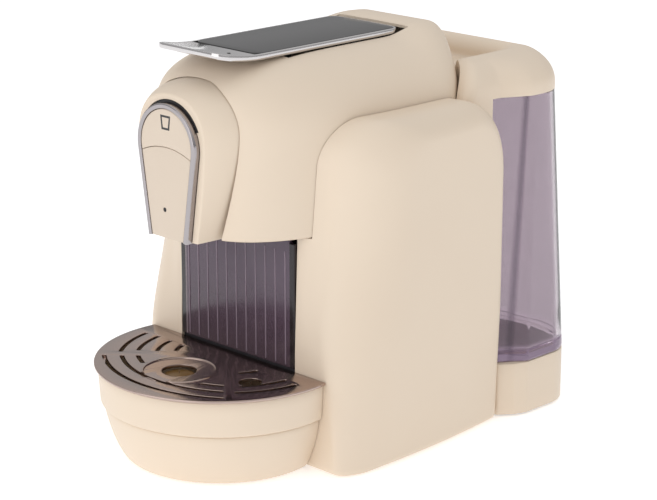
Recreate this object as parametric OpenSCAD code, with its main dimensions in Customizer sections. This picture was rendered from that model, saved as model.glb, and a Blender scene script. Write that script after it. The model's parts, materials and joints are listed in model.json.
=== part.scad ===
// Pod coffee machine: lever, brew button, drip tray, capsule container and lift-off water tank.
// +X is the machine's right, -Y its front, +Z up. Every piece is drawn with y = 0 on the splash
// panel's face, and put() moves it so that the origin is the middle of the footprint.

/* [Stand] */
// Height of the housings' underside above the counter
foot_h = 1.5; // [1:0.1:2.5]
// Height of the front bowl's underside above the counter
bowl_h = 3.6; // [3:0.1:5]
// Radius of a rubber foot
foot_r = 6; // [4:0.5:9]

/* [Cup bay] */
// Radius of the drip grid
grid_r = 78; // [74:1:80]
// Distance from the grid's centre forward of the splash panel
grid_set = 12; // [8:1:16]
// Height of the drip grid's top
grid_top = 59.6; // [56:0.2:62]
// Thickness of the drip grid
grid_t = 1.8; // [1.2:0.1:2.4]
// Height of the drip tray's cream band
band_h = 22; // [18:1:25]
// How far the band stands inside the grid's edge
band_inset = 2.4; // [1.5:0.1:4]
// How far the lower bowl stands inside the band
bowl_inset = 3.4; // [2:0.1:6]
// Radius of the ring that locates the cup
cup_ring_r = 22; // [18:1:26]
// Distance of the cup ring's centre in front of the splash panel
cup_ring_set = 47; // [45:1:50]
// Radius of the hole for the level float
float_hole_r = 10; // [8:0.5:12]
// Radius of the finger hole in the grid
finger_hole_r = 7; // [6:0.5:8]
// Spacing of the grid's curved slots
slot_pitch = 11.7; // [10:0.1:13]
// Width of a grid slot
slot_w = 2.8; // [2:0.1:4]

/* [Capsule container] */
// Half width of the splash panel
splash_half_w = 50.3; // [46:0.1:50.5]
// Depth of the container behind the splash panel
bin_depth = 108; // [90:1:110]
// Height of the container's side walls
bin_h = 76; // [60:1:78]
// Number of ribs on the splash panel
rib_count = 10; // [6:1:12]

/* [Body] */
// Height of the head's underside
head_h = 143; // [141:1:150]
// Height of the top deck
deck_h = 246; // [243:1:248]
// Half width of the head and body
body_half_w = 68; // [66:1:70]
// Reach of the nose in front of the splash panel
nose_reach = 38; // [34:1:40]
// Distance from the splash panel to the body's rear wall
body_back = 147; // [146:1:150]
// Plan radius of the body's rear corners
body_corner_r = 39; // [30:1:44]
// Wall of the large shells
wall = 2.4; // [1.8:0.1:2.8]
// Gap between fixed shells
seam = 0.4; // [0.3:0.05:0.6]
// Gap around moving pieces
play = 0.3; // [0.2:0.05:0.4]

/* [Side covers] */
// Half width over the side covers
cover_half_w = 97; // [95:1:102]
// Height of the side covers
cover_h = 211.5; // [208:0.5:214]
// Width of a side cover's rounded front corner
cover_front_r = 38; // [30:1:42]
// Depth of a side cover's rounded front corner
cover_front_d = 48; // [36:1:54]
// Radius of a side cover's upper front corner
cover_brow_r = 28; // [24:1:36]
// Radius of a side cover's upper rear corner
cover_rear_r = 40; // [32:1:46]
// Radius of a side cover's outer top edge
cover_edge_r = 18; // [12:1:22]
// How much narrower a side cover is at its rear edge
cover_taper = 8; // [4:1:10]

/* [Front badge] */
// Height of the badge's round centre
badge_h = 198.5; // [196:0.5:200]
// Outer radius of the chrome arch
arch_r = 25; // [24:0.5:26]
// Width of the chrome arch's face
arch_w = 3; // [2.4:0.1:3.6]
// Inward lean of the arch's legs
arch_lean = 8.6; // [7:0.1:10]
// Distance of the arch's face in front of the splash panel
badge_reach = 54.3; // [53:0.1:56]
// Travel of the brew button
button_travel = 1.5; // [1:0.1:2]

/* [Lever] */
// Half width of the lever
lever_half_w = 24; // [23:0.5:25]
// Thickness of the lever's chrome frame
lever_t = 3.6; // [3:0.1:4.2]
// Reach of the lever's lip in front of the splash panel
lip_reach = 37; // [32:1:40]
// Rise of the lever's lip
lip_rise = 5; // [4:0.5:8]
// Distance from the splash panel to the lever's hinge
hinge_y = 109.5; // [108:0.5:110]
// Radius of the lever's pin
pin_r = 1.5; // [1.2:0.1:1.7]
// Opening angle of the lever
lever_open = 85; // [75:1:88]
// Length of the lever's crank
crank_l = 14; // [13:0.1:14.4]

/* [Brew group] */
// Height of the brewing axis
brew_h = 186; // [184:0.5:187]
// Radius of the injection piston
piston_r = 18; // [16:0.5:19]
// Radial running clearance of the piston in its guide
piston_fit = 0.06; // [0.02:0.01:0.1]
// Height of the rocker's pivot
rocker_h = 208; // [206:0.5:209]
// Radius of the rocker's pivot pin
rocker_pin_r = 2; // [1.6:0.1:2.4]

/* [Water tank] */
// Half width of the tank at its foot
tank_half_w = 93; // [88:1:94]
// Distance from the splash panel to the tank's rear
tank_back = 214; // [208:1:220]
// Height of the tank's foot
tank_foot_h = 36; // [34:1:40]
// Height of the tank's rim
tank_rim_h = 206; // [203:1:207]
// Narrowing of the tank at its rim, on each side
tank_draft = 6; // [4:0.5:7]
// Height of the tank's lid
lid_h = 229.5; // [227:0.5:233]
// Wall of the tank
tank_wall = 2.2; // [1.8:0.1:2.8]
// Radius of the outlet in the tank's floor
outlet_r = 9; // [8:0.5:10]
// Travel of the tank's valve
valve_travel = 3; // [2:0.5:3.5]

/* [Hidden] */
$fn = 64;
cream = [0.89, 0.82, 0.74];
smoke = [0.42, 0.38, 0.47];
chrome = [0.8, 0.8, 0.82];
dark = [0.25, 0.24, 0.25];
steel = [0.62, 0.63, 0.65];
brass = [0.72, 0.6, 0.32];
rubber = [0.15, 0.15, 0.15];
grey = [0.55, 0.56, 0.58];
copper = [0.72, 0.45, 0.3];
white = [0.9, 0.9, 0.9];

// Places that follow from the sizes above
rear_trim = 1.4;
splash_y = (grid_set + grid_r - tank_back - rear_trim) / 2;
band_r = grid_r - band_inset;
tray_top = grid_top - grid_t - play;
tray_foot = tray_top - band_h;
bowl_r = band_r - bowl_inset;
bay_half_w = splash_half_w + 0.5;
ring_rise = 0.9;
shelf_t = 2.8;
bin_foot = grid_top + ring_rise + 0.4;
shelf_top = bin_foot - play;
bin_top = bin_foot + bin_h;
bin_wall = 2;
frame_x = bay_half_w + 1.7;
frame_t = 3;
frame_top = deck_h - 46;
frame_in = frame_x - play;
cover_back = body_back - 1.3;
floor_top = bowl_h + wall;
base_top = floor_top + 3.2;
bulkhead_y = cover_back - wall - play - 2.8;
dome_h = 203;
dome_y = 60;
hinge_h = deck_h - 3.7;
lever_foot = deck_h - 0.5;
lever_tail = hinge_y + 4;
opening_half_w = lever_half_w + 0.4;
pedestal_y = cover_back + play * 2;
tank_front = body_back + 0.8;

module put() {
  translate([0, splash_y, 0]) children();
}

module mirrored() {
  children();
  mirror([1, 0, 0]) children();
}

// A closed solid through rings of equal length, stacked along their normal
function ring_sides(n, m, base) = [for (k = [0 : m - 2], i = [0 : n - 1], h = [0, 1])
  let (a = base + k * n + i, b = base + k * n + (i + 1) % n, c = b + n, d = a + n)
  h == 0 ? [a, d, c] : [a, c, b]];

function flipped(faces) = [for (f = faces) [for (i = [len(f) - 1 : -1 : 0]) f[i]]];

function joined(lists) = [for (l = lists, p = l) p];

function backwards(l) = [for (i = [len(l) - 1 : -1 : 0]) l[i]];

module stack(rings) {
  n = len(rings[0]);
  m = len(rings);
  polyhedron(joined(rings), concat([[for (i = [0 : n - 1]) i]], ring_sides(n, m, 0),
    [[for (i = [n - 1 : -1 : 0]) (m - 1) * n + i]]), convexity = 8);
}

// A shell between outer and inner rings, open at the first ring and closed at the last
module shell_stack(outer, inner) {
  n = len(outer[0]);
  mo = len(outer);
  mi = len(inner);
  b = mo * n;
  polyhedron(joined(concat(outer, inner)), concat(
    ring_sides(n, mo, 0), [[for (i = [n - 1 : -1 : 0]) (mo - 1) * n + i]],
    flipped(ring_sides(n, mi, b)), [[for (i = [0 : n - 1]) b + (mi - 1) * n + i]],
    [for (i = [0 : n - 1]) [i, (i + 1) % n, b + (i + 1) % n]],
    [for (i = [0 : n - 1]) [i, b + (i + 1) % n, b + i]]), convexity = 8);
}

function bezier(a, b, c, d, t) =
  a * pow(1 - t, 3) + b * 3 * t * pow(1 - t, 2) + c * 3 * t * t * (1 - t) + d * pow(t, 3);

function arc(centre, r, from, to, steps) = [for (i = [0 : steps])
  let (a = from + (to - from) * i / steps) centre + r * [cos(a), sin(a)]];

// How far a dome has drawn in at part t of its height
function dome(t, power) = pow(max(0, 1 - pow(t, power)), 1 / power);

// Both halves of a plan outline from its right half, front to back
function both_sides(right) = concat(right,
  [for (i = [len(right) - 1 : -1 : 0]) if (right[i][0] > 0.01) [-right[i][0], right[i][1]]]);

// ---------------------------------------------------------------- body
nose_flat = 18;
nose_grip = [48, 58];
nose_end_y = 70;

function body_plan() = both_sides(concat(
  [[0, -nose_reach]],
  [for (i = [0 : 12]) bezier([nose_flat, -nose_reach], [nose_grip[0], -nose_reach],
    [nose_grip[1], 10], [body_half_w, nose_end_y], i / 12)],
  arc([body_half_w - body_corner_r, body_back - body_corner_r], body_corner_r, 0, 90, 8),
  [[0, body_back]]));

// The body's plan at height z, moved inwards by inset
function body_ring(z, inset) =
  let (t = z <= dome_h ? 0 : min(0.999, (z - dome_h) / (deck_h - inset - dome_h)),
    sx = dome(t, 2.2) * (body_half_w - inset - lever_half_w) / (body_half_w - lever_half_w),
    sf = dome(t, 3.4) * (dome_y + nose_reach - inset) / (dome_y + nose_reach),
    sr = dome(t, 16) * (body_back - dome_y - inset) / (body_back - dome_y))
  [for (p = body_plan())
    [abs(p[0]) < lever_half_w ? p[0] : sign(p[0]) * (lever_half_w + (abs(p[0]) - lever_half_w) * sx), dome_y + (p[1] - dome_y) * (p[1] < dome_y ? sf : sr), z]];

dome_steps = [0, 0.14, 0.28, 0.42, 0.55, 0.66, 0.76, 0.84, 0.9, 0.945, 0.975, 0.993];

function body_rings(inset) = concat([body_ring(head_h, inset)],
  [for (t = dome_steps) body_ring(dome_h + t * (deck_h - inset - dome_h), inset)]);

// The body's upright walls as a prism, grown by gap
module body_prism(gap, from, to) {
  translate([0, 0, from]) linear_extrude(to - from) polygon([for (p = body_plan())
    [p[0] * (body_half_w + gap) / body_half_w, dome_y + (p[1] - dome_y) *
      (p[1] < dome_y ? (dome_y + nose_reach + gap) / (dome_y + nose_reach)
        : (body_back - dome_y + gap) / (body_back - dome_y))]]);
}

module head_shell() {
  put() color(cream) difference() {
    shell_stack(body_rings(0), body_rings(wall));
    // the cowl's opening in the nose
    upright(-10, 60) tear(cowl_r + seam, cowl_lean, cowl_centre, -10);
    // the opening under the lever
    translate([-opening_half_w, 16, deck_h - 30]) cube([2 * opening_half_w, lever_tail + 4.3 - 16, 40]);
  }
}

// ---------------------------------------------------------------- teardrop front
cowl_r = 33;
cowl_centre = badge_h + 2.5;
cowl_lean = 11;
cowl_back = 20;
cowl_reach = badge_reach - 4.3;
recess_y = cowl_reach - 3.6;

// A teardrop about its round centre, cut off at the head's underside moved by foot_drop
module tear(r, lean, centre, foot_drop) {
  foot = head_h - centre + foot_drop;
  foot_half_w = r * cos(lean) + (foot + r * sin(lean)) * tan(lean);
  translate([0, centre]) polygon(concat([[-foot_half_w, foot], [foot_half_w, foot]],
    arc([0, 0], r, -lean, 180 + lean, 60)));
}

// Stands a flat shape up, from y = back towards the front by depth
module upright(back, depth) {
  translate([0, back, 0]) rotate([90, 0, 0]) linear_extrude(depth) children();
}

function tear_ring(r, lean, centre, y) =
  let (x0 = r * cos(lean), z0 = centre - r * sin(lean), xb = x0 - (z0 - head_h) * tan(lean))
  concat([[-xb, y, head_h], [xb, y, head_h]],
    [for (i = [0 : 24]) let (a = -lean + (180 + 2 * lean) * i / 24) [r * cos(a), y, centre + r * sin(a)]]);

// Rings run from the back to the front of the cowl
function cowl_rings(inset, front) = [for (s = [0, 0.4, 0.62, 0.78, 0.9, 0.97, 1])
  let (y = -cowl_back - (front - cowl_back) * s, k = s * s)
  tear_ring(cowl_r - inset - 4.2 * k, cowl_lean - 2 * k, cowl_centre - 1.5 * k, y)];

module front_cowl() {
  put() color(cream) difference() {
    stack(cowl_rings(0, cowl_reach));
    translate([0, 0.5, -wall]) stack(cowl_rings(wall, cowl_reach - 5.5));
    // the recess for the arch and the badge, wider round the arch's top
    upright(-recess_y, 20) tear(arch_r + seam, arch_lean, badge_h, -1);
    upright(-recess_y, 20) translate([0, badge_h]) intersection() {
      circle(arch_r + 1.9);
      translate([-50, -4]) square([100, 60]);
    }
    translate([0, 0, plunger_h]) rotate([90, 0, 0]) cylinder(r = plunger_r + 0.4, h = 100);
    translate([lamp_x, 0, lamp_h]) rotate([90, 0, 0]) cylinder(r = 2, h = 100);
  }
}

module chrome_arch() {
  put() color(chrome) upright(-recess_y - play, badge_reach - recess_y - play) difference() {
    tear(arch_r, arch_lean, badge_h, -0.6);
    tear(arch_r - arch_w, arch_lean, badge_h, -10);
  }
}

button_arc_r = 51.7;
button_arc_h = badge_h - 0.9;
button_face = badge_reach - 0.5;
lamp_h = badge_h - 38.5;
lamp_x = -2;
lamp_r = 1.3;
button_back = recess_y + play + button_travel;

module badge_blank() {
  tear(arch_r - arch_w - play, arch_lean, badge_h, 0);
}

module badge_panel() {
  put() color(cream) difference() {
    upright(-recess_y - play, button_face - recess_y - play) intersection() {
      badge_blank();
      translate([0, button_arc_h - button_arc_r]) circle(button_arc_r - play / 2);
    }
    translate([lamp_x, 0, lamp_h]) rotate([90, 0, 0]) cylinder(r = lamp_r + 0.1, h = 100);
  }
}

module button_outline(inset) {
  difference() {
    tear(arch_r - arch_w - play - inset, arch_lean, badge_h, 0);
    translate([0, button_arc_h - button_arc_r]) circle(button_arc_r + play / 2 + inset);
  }
}

module icon_outline(grow) {
  polygon([[-4.4 - grow, 8.6 + grow], [4.4 + grow, 8.6 + grow], [3.4 + grow, -grow], [-3.4 - grow, -grow]]);
}

icon_foot = badge_h + 9.5;
icon_t = 0.4;

module icon_shape() {
  translate([0, icon_foot]) difference() {
    icon_outline(0);
    icon_outline(-1.3);
  }
}

plunger_r = 3;
plunger_h = badge_h + 4;
plunger_back = cowl_reach - 22;

module brew_button() {
  put() color(cream) {
    difference() {
      union() {
        upright(-button_back, button_face - button_back) button_outline(0);
        translate([0, -plunger_back, plunger_h]) rotate([90, 0, 0])
          cylinder(r = plunger_r, h = button_back + 1 - plunger_back);
      }
      upright(-button_face + icon_t, 5) icon_shape();
    }
  }
}

module cup_icon() {
  put() color(dark) upright(-button_face + icon_t, icon_t) icon_shape();
}

module status_lamp() {
  put() color(rubber) translate([lamp_x, -recess_y + 4, lamp_h]) rotate([90, 0, 0])
    cylinder(r = lamp_r, h = button_face - recess_y + 4);
}

// ---------------------------------------------------------------- cup bay
grid_y = -grid_set;
bowl_foot_h = bowl_h - play;

// A turned shape about the grid's centre, cut off behind y = -gap
module turned_front(gap) {
  difference() {
    translate([0, grid_y, 0]) rotate_extrude($fn = 96) children();
    translate([-150, -gap, -1]) cube([300, 150, 300]);
  }
}

module bowl_profile(inset) {
  top = tray_foot - play;
  polygon(concat([[0, bowl_h + inset]],
    [for (i = [6 : -1 : 0]) [bowl_r - 1 - inset - 6 * (1 - cos(15 * i)), bowl_h + inset + 16 * (1 - sin(15 * i))]],
    [[bowl_r - inset, top + (inset > 0 ? 1 : 0)], [0, top + (inset > 0 ? 1 : 0)]]));
}

tab_half_w = 40;

module front_bowl() {
  put() color(cream) {
    difference() {
      turned_front(seam) bowl_profile(0);
      turned_front(0.2) bowl_profile(wall);
    }
    difference() {
      translate([-tab_half_w, -6, bowl_h]) cube([2 * tab_half_w, 20, wall]);
      for (x = [-30, 30]) translate([x, 8, 0]) cylinder(r = screw_r + 0.3, h = 10);
    }
  }
}

foot_y = grid_y - 42;

module bowl_foot() {
  put() color(white) translate([0, foot_y, 0]) union() {
    cylinder(r = 6.5, h = bowl_foot_h);
    translate([0, 0, bowl_foot_h - 0.1]) cylinder(r = 4, h = 0.1);
  }
}

tray_floor = tray_foot + wall;
post_r = 3;
float_foot = tray_floor + play;

module drip_tray() {
  put() color(cream) {
    difference() {
      turned_front(seam) polygon([[0, tray_foot], [band_r - 1, tray_foot], [band_r, tray_top], [0, tray_top]]);
      turned_front(seam + wall) polygon([[0, tray_floor], [band_r - 1 - wall, tray_floor],
        [band_r - wall, tray_top + 1], [0, tray_top + 1]]);
    }
    translate([0, -cup_ring_set, tray_floor - 0.5]) cylinder(r = post_r, h = 11);
  }
}

module slot_ring(r, from, to) {
  reach = grid_r + 20;
  intersection() {
    difference() {
      cylinder(r = r + slot_w / 2, h = 10, center = true, $fn = 128);
      cylinder(r = r - slot_w / 2, h = 11, center = true, $fn = 128);
    }
    linear_extrude(12, center = true) polygon(concat([[0, 0]],
      [for (i = [0 : 4]) let (a = from + (to - from) * i / 4) reach * [cos(a), sin(a)]]));
  }
}

finger_at = [45, -31];

module drip_grid() {
  foot = grid_top - grid_t;
  put() color(chrome) difference() {
    union() {
      turned_front(seam) polygon([[0, foot], [grid_r - 0.6, foot], [grid_r, foot + 0.6],
        [grid_r, grid_top - 0.5], [grid_r - 0.5, grid_top], [0, grid_top]]);
      turned_front(seam + wall + 0.6) polygon([[band_r - wall - 2, foot - 2.5], [band_r - wall - 0.6, foot - 2.5],
        [band_r - wall - 0.6, foot + 0.5], [band_r - wall - 2, foot + 0.5]]);
      translate([0, -cup_ring_set, grid_top - 0.2]) difference() {
        cylinder(r = cup_ring_r + 0.8, h = ring_rise + 0.2);
        translate([0, 0, -1]) cylinder(r = cup_ring_r - 0.8, h = 4);
      }
    }
    translate([0, -cup_ring_set, 0]) cylinder(r = float_hole_r, h = 100);
    translate([finger_at[0], finger_at[1], 0]) cylinder(r = finger_hole_r, h = 100);
    translate([0, grid_y, foot]) {
      for (a = [[185, 222], [228, 312], [318, 355]]) slot_ring(grid_r - slot_pitch, a[0], a[1]);
      for (a = [[184, 219], [231, 250], [290, 309], [321, 356]]) slot_ring(grid_r - 2 * slot_pitch, a[0], a[1]);
      for (a = [[182, 215], [325, 350]]) slot_ring(grid_r - 3 * slot_pitch, a[0], a[1]);
      for (a = [[178, 212]]) slot_ring(grid_r - 4 * slot_pitch, a[0], a[1]);
    }
  }
}

float_r = float_hole_r - 0.7;
float_travel = 6;

module level_float() {
  put() color([0.7, 0.45, 0.1]) translate([0, -cup_ring_set, float_foot]) difference() {
    union() {
      cylinder(r = float_r + 5, h = 6);
      cylinder(r = float_r, h = grid_top - grid_t - 0.8 - float_foot);
    }
    translate([0, 0, -1]) cylinder(r = post_r + 0.3, h = 13.5);
  }
}

// ---------------------------------------------------------------- capsule container
panel_t = 3;
bin_half_w = splash_half_w - 0.8;

module capsule_container() {
  panel_top = head_h - 1.5;
  put() color(smoke) difference() {
    union() {
      translate([-splash_half_w, 0, bin_foot]) cube([2 * splash_half_w, panel_t, panel_top - bin_foot]);
      translate([-bin_half_w, 1, bin_foot]) cube([2 * bin_half_w, bin_depth - 1, bin_h]);
    }
    difference() {
      translate([-bin_half_w + bin_wall, panel_t, bin_foot + bin_wall])
        cube([2 * (bin_half_w - bin_wall), bin_depth - panel_t - bin_wall, bin_h]);
      for (i = [0 : rib_count - 1])
        translate([(i - (rib_count - 1) / 2) * 2 * bin_half_w / rib_count - 0.8, 0, 0])
          cube([1.6, panel_t + 1.4, 200]);
    }
    translate([-8, -1, bin_top]) cube([16, 10, 20]);
    translate([splash_half_w - 4, -1, panel_top - 3]) cube([5, 10, 5]);
  }
}

// ---------------------------------------------------------------- side covers
cover_x0 = bay_half_w;

function round_in(x, edge, r) = x < edge - r ? 0 : r - sqrt(max(0, r * r - pow(x - edge + r, 2)));

// The cover's outline in (y, z) on the level x, moved inwards by inset
function cover_outline(inset) = concat(
  arc([4, foot_h + 4], 4 - inset / 2, 180, 270, 3),
  arc([cover_back - 4, foot_h + 4], 4 - inset / 2, 270, 360, 3),
  arc([cover_back - cover_rear_r, cover_h - cover_rear_r], cover_rear_r - inset, 0, 90, 10),
  arc([cover_brow_r + 5, cover_h - cover_brow_r], cover_brow_r - inset, 90, 174, 9),
  [[inset + 2.5, head_h], [inset, 70]]);

function cover_ring(x, inset) =
  let (edge = cover_half_w - inset,
    f = round_in(x, edge, cover_front_r) * cover_front_d / cover_front_r * 0.95,
    g = round_in(x, edge, cover_edge_r) * 0.9,
    h = round_in(x, edge, 7), b = round_in(x, edge, 4),
    y0 = inset + f, y1 = cover_back - inset - h, z0 = foot_h + inset + b, z1 = cover_h - inset - g)
  [for (p = cover_outline(inset))
    let (y = y0 + (p[0] - inset) / (cover_back - 2 * inset) * (y1 - y0),
      z = z0 + (p[1] - foot_h - inset) / (cover_h - foot_h - 2 * inset) * (z1 - z0),
      k = max(0, (y - 40) / (cover_back - 40)))
    [x - cover_taper * k * k * (x - cover_x0) / (cover_half_w - cover_x0), y, z]];

function cover_levels(edge) = concat([cover_x0],
  [for (a = [0, 14, 28, 40, 51, 61, 70, 78]) edge - cover_front_r + cover_front_r * sin(a)],
  [edge]);

function cover_rings(inset) = [for (x = cover_levels(cover_half_w - inset)) cover_ring(x, inset)];

foot_spots = [[74, 26], [62, 192]];
// Each cover boss as y, z and how far its end stays inside the cover's widest face
boss_spots = [[26, 22, 6.5], [26, 122, 6.5], [118, 22, 5.7], [120, 122, 5.8]];
frame_out = frame_x + frame_t;

module side_cover() {
  color(cream) {
    difference() {
      shell_stack(cover_rings(0), cover_rings(wall));
      body_prism(seam, head_h - seam, deck_h);
      translate([foot_spots[0][0], foot_spots[0][1], 0]) cylinder(r = foot_r + 0.5, h = 12);
    }
    for (s = boss_spots) translate([frame_out + play, s[0], s[1]]) rotate([0, 90, 0])
      cylinder(r = 4, h = cover_half_w - s[2] - frame_out - play);
  }
}

module right_cover() {
  put() side_cover();
}

module left_cover() {
  put() mirror([1, 0, 0]) side_cover();
}

// ---------------------------------------------------------------- lever
lip_root = 4;
insert_inset = 3;
insert_depth = 1.6;

function lip(y) = y > -lip_root ? 0 : lip_rise * pow((-lip_root - y) / (lip_reach - lip_root), 1.8);

lever_stations = concat([lever_tail], [for (i = [0 : 8]) -lip_root - (lip_reach - lip_root) * i / 8]);

// The lever between two heights above its underside, moved inwards by inset
module lever_layer(inset, low, high) {
  intersection() {
    rotate([90, 0, 90]) linear_extrude(2 * lever_half_w + 2, center = true) polygon(concat(
      [for (y = lever_stations) [y, lever_foot + lip(y) + high]],
      [for (y = backwards(lever_stations)) [y, lever_foot + lip(y) + low]]));
    translate([0, 0, lever_foot - 5]) linear_extrude(30) polygon(both_sides(concat(
      [[0, -lip_reach + inset]],
      arc([lever_half_w - 9, -lip_reach + 9], 9 - inset, -90, 0, 6),
      arc([lever_half_w - 6, lever_tail - 6], 6 - inset, 0, 90, 5),
      [[0, lever_tail - inset]])));
  }
}

crank_x = 15.5;
crank_t = 3;
crank_back = lever_open / 2;
arm_x = 11.5;
arm_t = 3;

// A link of two rounded ends from p to q in the (y, z) plane
module link(p, q, rp, rq, x, t) {
  translate([x, 0, 0]) rotate([90, 0, 90]) linear_extrude(t) hull() {
    translate(p) circle(rp, $fn = 32);
    translate(q) circle(rq, $fn = 32);
  }
}

module rod(y, z, r, x, l) {
  translate([x, y, z]) rotate([0, 90, 0]) cylinder(r = r, h = l);
}

crank_pin = [hinge_y + crank_l * sin(crank_back), hinge_h - crank_l * cos(crank_back)];

module lever_frame() {
  put() color(chrome) {
    difference() {
      lever_layer(0, 0, lever_t);
      lever_layer(insert_inset, lever_t - insert_depth, lever_t + 3);
    }
    mirrored() {
      difference() {
        union() {
          link([hinge_y, hinge_h], crank_pin, 3.2, 2.8, crank_x, crank_t);
          translate([crank_x, hinge_y - 3.2, hinge_h]) cube([crank_t, 6.4, lever_foot - hinge_h + 0.2]);
        }
        rod(hinge_y, hinge_h, pin_r + 0.05, crank_x - 1, crank_t + 2);
      }
      rod(crank_pin[0], crank_pin[1], pin_r, arm_x - 1, crank_x + 1 - arm_x + 1);
    }
  }
}

module lever_insert() {
  put() color(dark) lever_layer(insert_inset + 0.25, lever_t - insert_depth + play, lever_t + 0.3);
}

ear_x = 19.2;
ear_t = 2.3;

module lever_pin() {
  put() color(steel) rod(hinge_y, hinge_h, pin_r, -ear_x - ear_t + 0.1, 2 * (ear_x + ear_t) - 0.2);
}

bracket_foot = frame_top + play;
bracket_t = 2.8;

module hinge_bracket() {
  put() color(grey) {
    difference() {
      translate([-frame_out + 0.5, 100, bracket_foot]) cube([2 * frame_out - 1, 30, bracket_t]);
      translate([-ear_x, 99, bracket_foot - 1]) cube([2 * ear_x, 24, bracket_t + 2]);
    }
    mirrored() difference() {
      union() {
        rod(hinge_y, hinge_h, 2.9, ear_x, ear_t);
        translate([ear_x, hinge_y - 2.9, bracket_foot]) cube([ear_t, 5.8, hinge_h - bracket_foot]);
        rod(hinge_y, rocker_h, 6, ear_x, ear_t);
      }
      rod(hinge_y, hinge_h, pin_r + 0.02, ear_x - 1, ear_t + 2);
      rod(hinge_y, rocker_h, rocker_pin_r + 0.02, ear_x - 1, ear_t + 2);
    }
  }
}

module rocker_pin() {
  put() color(steel) rod(hinge_y, rocker_h, rocker_pin_r, -ear_x - ear_t + 0.1, 2 * (ear_x + ear_t) - 0.2);
}

rocker_lean = atan2(crank_pin[0] - hinge_y, crank_pin[1] - rocker_h);
rocker_l = 24;

function rocker_at(l) = [hinge_y + l * sin(rocker_lean), rocker_h + l * cos(rocker_lean)];

yoke_pin = rocker_at(-rocker_l);
slot_half = pin_r + 1.2;

module rocker_arms() {
  put() color(steel) {
    mirrored() difference() {
      union() {
        link(rocker_at(0), rocker_at(27.5), 6.5, slot_half + 2.4, arm_x, arm_t);
        link(rocker_at(0), yoke_pin, 6.5, 4, arm_x, arm_t);
      }
      link(rocker_at(19), rocker_at(27.5), slot_half, slot_half, arm_x - 1, arm_t + 2);
      rod(hinge_y, rocker_h, rocker_pin_r + 0.05, arm_x - 1, arm_t + 2);
    }
    mirrored() rod(yoke_pin[0], yoke_pin[1], pin_r, yoke_x - 1, arm_x - yoke_x + 2);
    difference() {
      rod(hinge_y, rocker_h, 4.5, -arm_x - 0.1, 2 * arm_x + 0.2);
      rod(hinge_y, rocker_h, rocker_pin_r + 0.05, -arm_x - 1, 2 * arm_x + 2);
    }
  }
}

// ---------------------------------------------------------------- brew group
piston_front = 56;
piston_back = 88;
yoke_x = 6.5;
yoke_t = 3;

module along_y(y, r, l) {
  translate([0, y, brew_h]) rotate([-90, 0, 0]) cylinder(r = r, h = l);
}

module injection_piston() {
  put() color(white) difference() {
    along_y(piston_front, piston_r, piston_back - piston_front);
    along_y(piston_front + 20, 2.5, 30);
    along_y(piston_front - 1, 1.5, 30);
  }
}

module piston_yoke() {
  y = piston_back + play;
  put() color(steel) {
    along_y(y, 14, 2);
    mirrored() difference() {
      translate([yoke_x, y, brew_h - 9]) cube([yoke_t, yoke_pin[0] + 4.5 - y, 17]);
      translate([yoke_x - 1, yoke_pin[0] - pin_r - 0.3, brew_h - 4.5]) cube([yoke_t + 2, 2 * pin_r + 0.6, 7]);
    }
  }
}

module piercing_plate() {
  put() color(steel) {
    along_y(piston_front - play - 1.2, 15, 1.2);
    for (a = [90, 210, 330]) translate([8 * cos(a), piston_front - play - 4.4, brew_h + 8 * sin(a)])
      rotate([-90, 0, 0]) cylinder(r1 = 0.4, r2 = 1.5, h = 3.5);
  }
}

module brew_seal() {
  put() color(rubber) difference() {
    along_y(infusion_y + 6 + play, piston_r - 0.5, 2.4);
    along_y(infusion_y + 5, piston_r - 3.5, 5);
  }
}

module piston_guide() {
  put() color(grey) difference() {
    union() {
      along_y(66, piston_r + 3, 26);
      translate([-frame_in, 70, 158]) cube([2 * frame_in, 4, 41]);
    }
    along_y(60, piston_r + piston_fit, 40);
    // the port for the hot water hose
    rod(82, brew_h, 1.5, piston_r - 3, 20);
  }
  put() color(grey) difference() {
    rod(82, brew_h, nipple_r, piston_r + 2, 11);
    rod(82, brew_h, 1.5, piston_r + 1, 14);
  }
}

infusion_y = 22;
nipple_r = 2.2;
hose_in = nipple_r + 0.06;
hose_out = 3.4;
spout_y = -35;
brew_hose_h = 170;

module infusion_plate() {
  put() color(grey) difference() {
    union() {
      translate([-frame_in, infusion_y, 158]) cube([2 * frame_in, 4, 41]);
      along_y(infusion_y, piston_r, 6);
      translate([0, infusion_y - 10, brew_hose_h]) rotate([-90, 0, 0]) cylinder(r = nipple_r, h = 11);
    }
    translate([0, infusion_y - 11, brew_hose_h]) rotate([-90, 0, 0]) cylinder(r = 1.3, h = 20);
    for (a = [0 : 60 : 300]) translate([10 * cos(a), infusion_y + 4, brew_h + 10 * sin(a)])
      rotate([-90, 0, 0]) cylinder(r = 0.8, h = 5);
  }
}

chute_half_w = 23.5;

module capsule_chute() {
  put() color(grey) {
    mirrored() translate([chute_half_w, infusion_y + 4 + play, 158]) cube([2.5, 70 - infusion_y - 4 - 2 * play, 76]);
    mirrored() translate([chute_half_w, infusion_y + 4 + play, 158])
      cube([frame_in - chute_half_w, 10, 2.5]);
    translate([-chute_half_w - 2.5, infusion_y + 4 + play, 226]) cube([2 * chute_half_w + 5, 2.5, 8]);
  }
}

module coffee_spout() {
  put() color(dark) translate([0, spout_y, 0]) difference() {
    union() {
      translate([0, 0, 138]) cylinder(r1 = 4.4, r2 = 5.2, h = 9);
      translate([0, 0, head_h + 3 + play]) cylinder(r = 8, h = 2);
      translate([0, 0, head_h + 3]) cylinder(r = nipple_r, h = 12);
    }
    translate([0, 0, 137]) cylinder(r = 3, h = 8);
    translate([0, 0, 140]) cylinder(r = 1.3, h = 30);
  }
}

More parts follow.
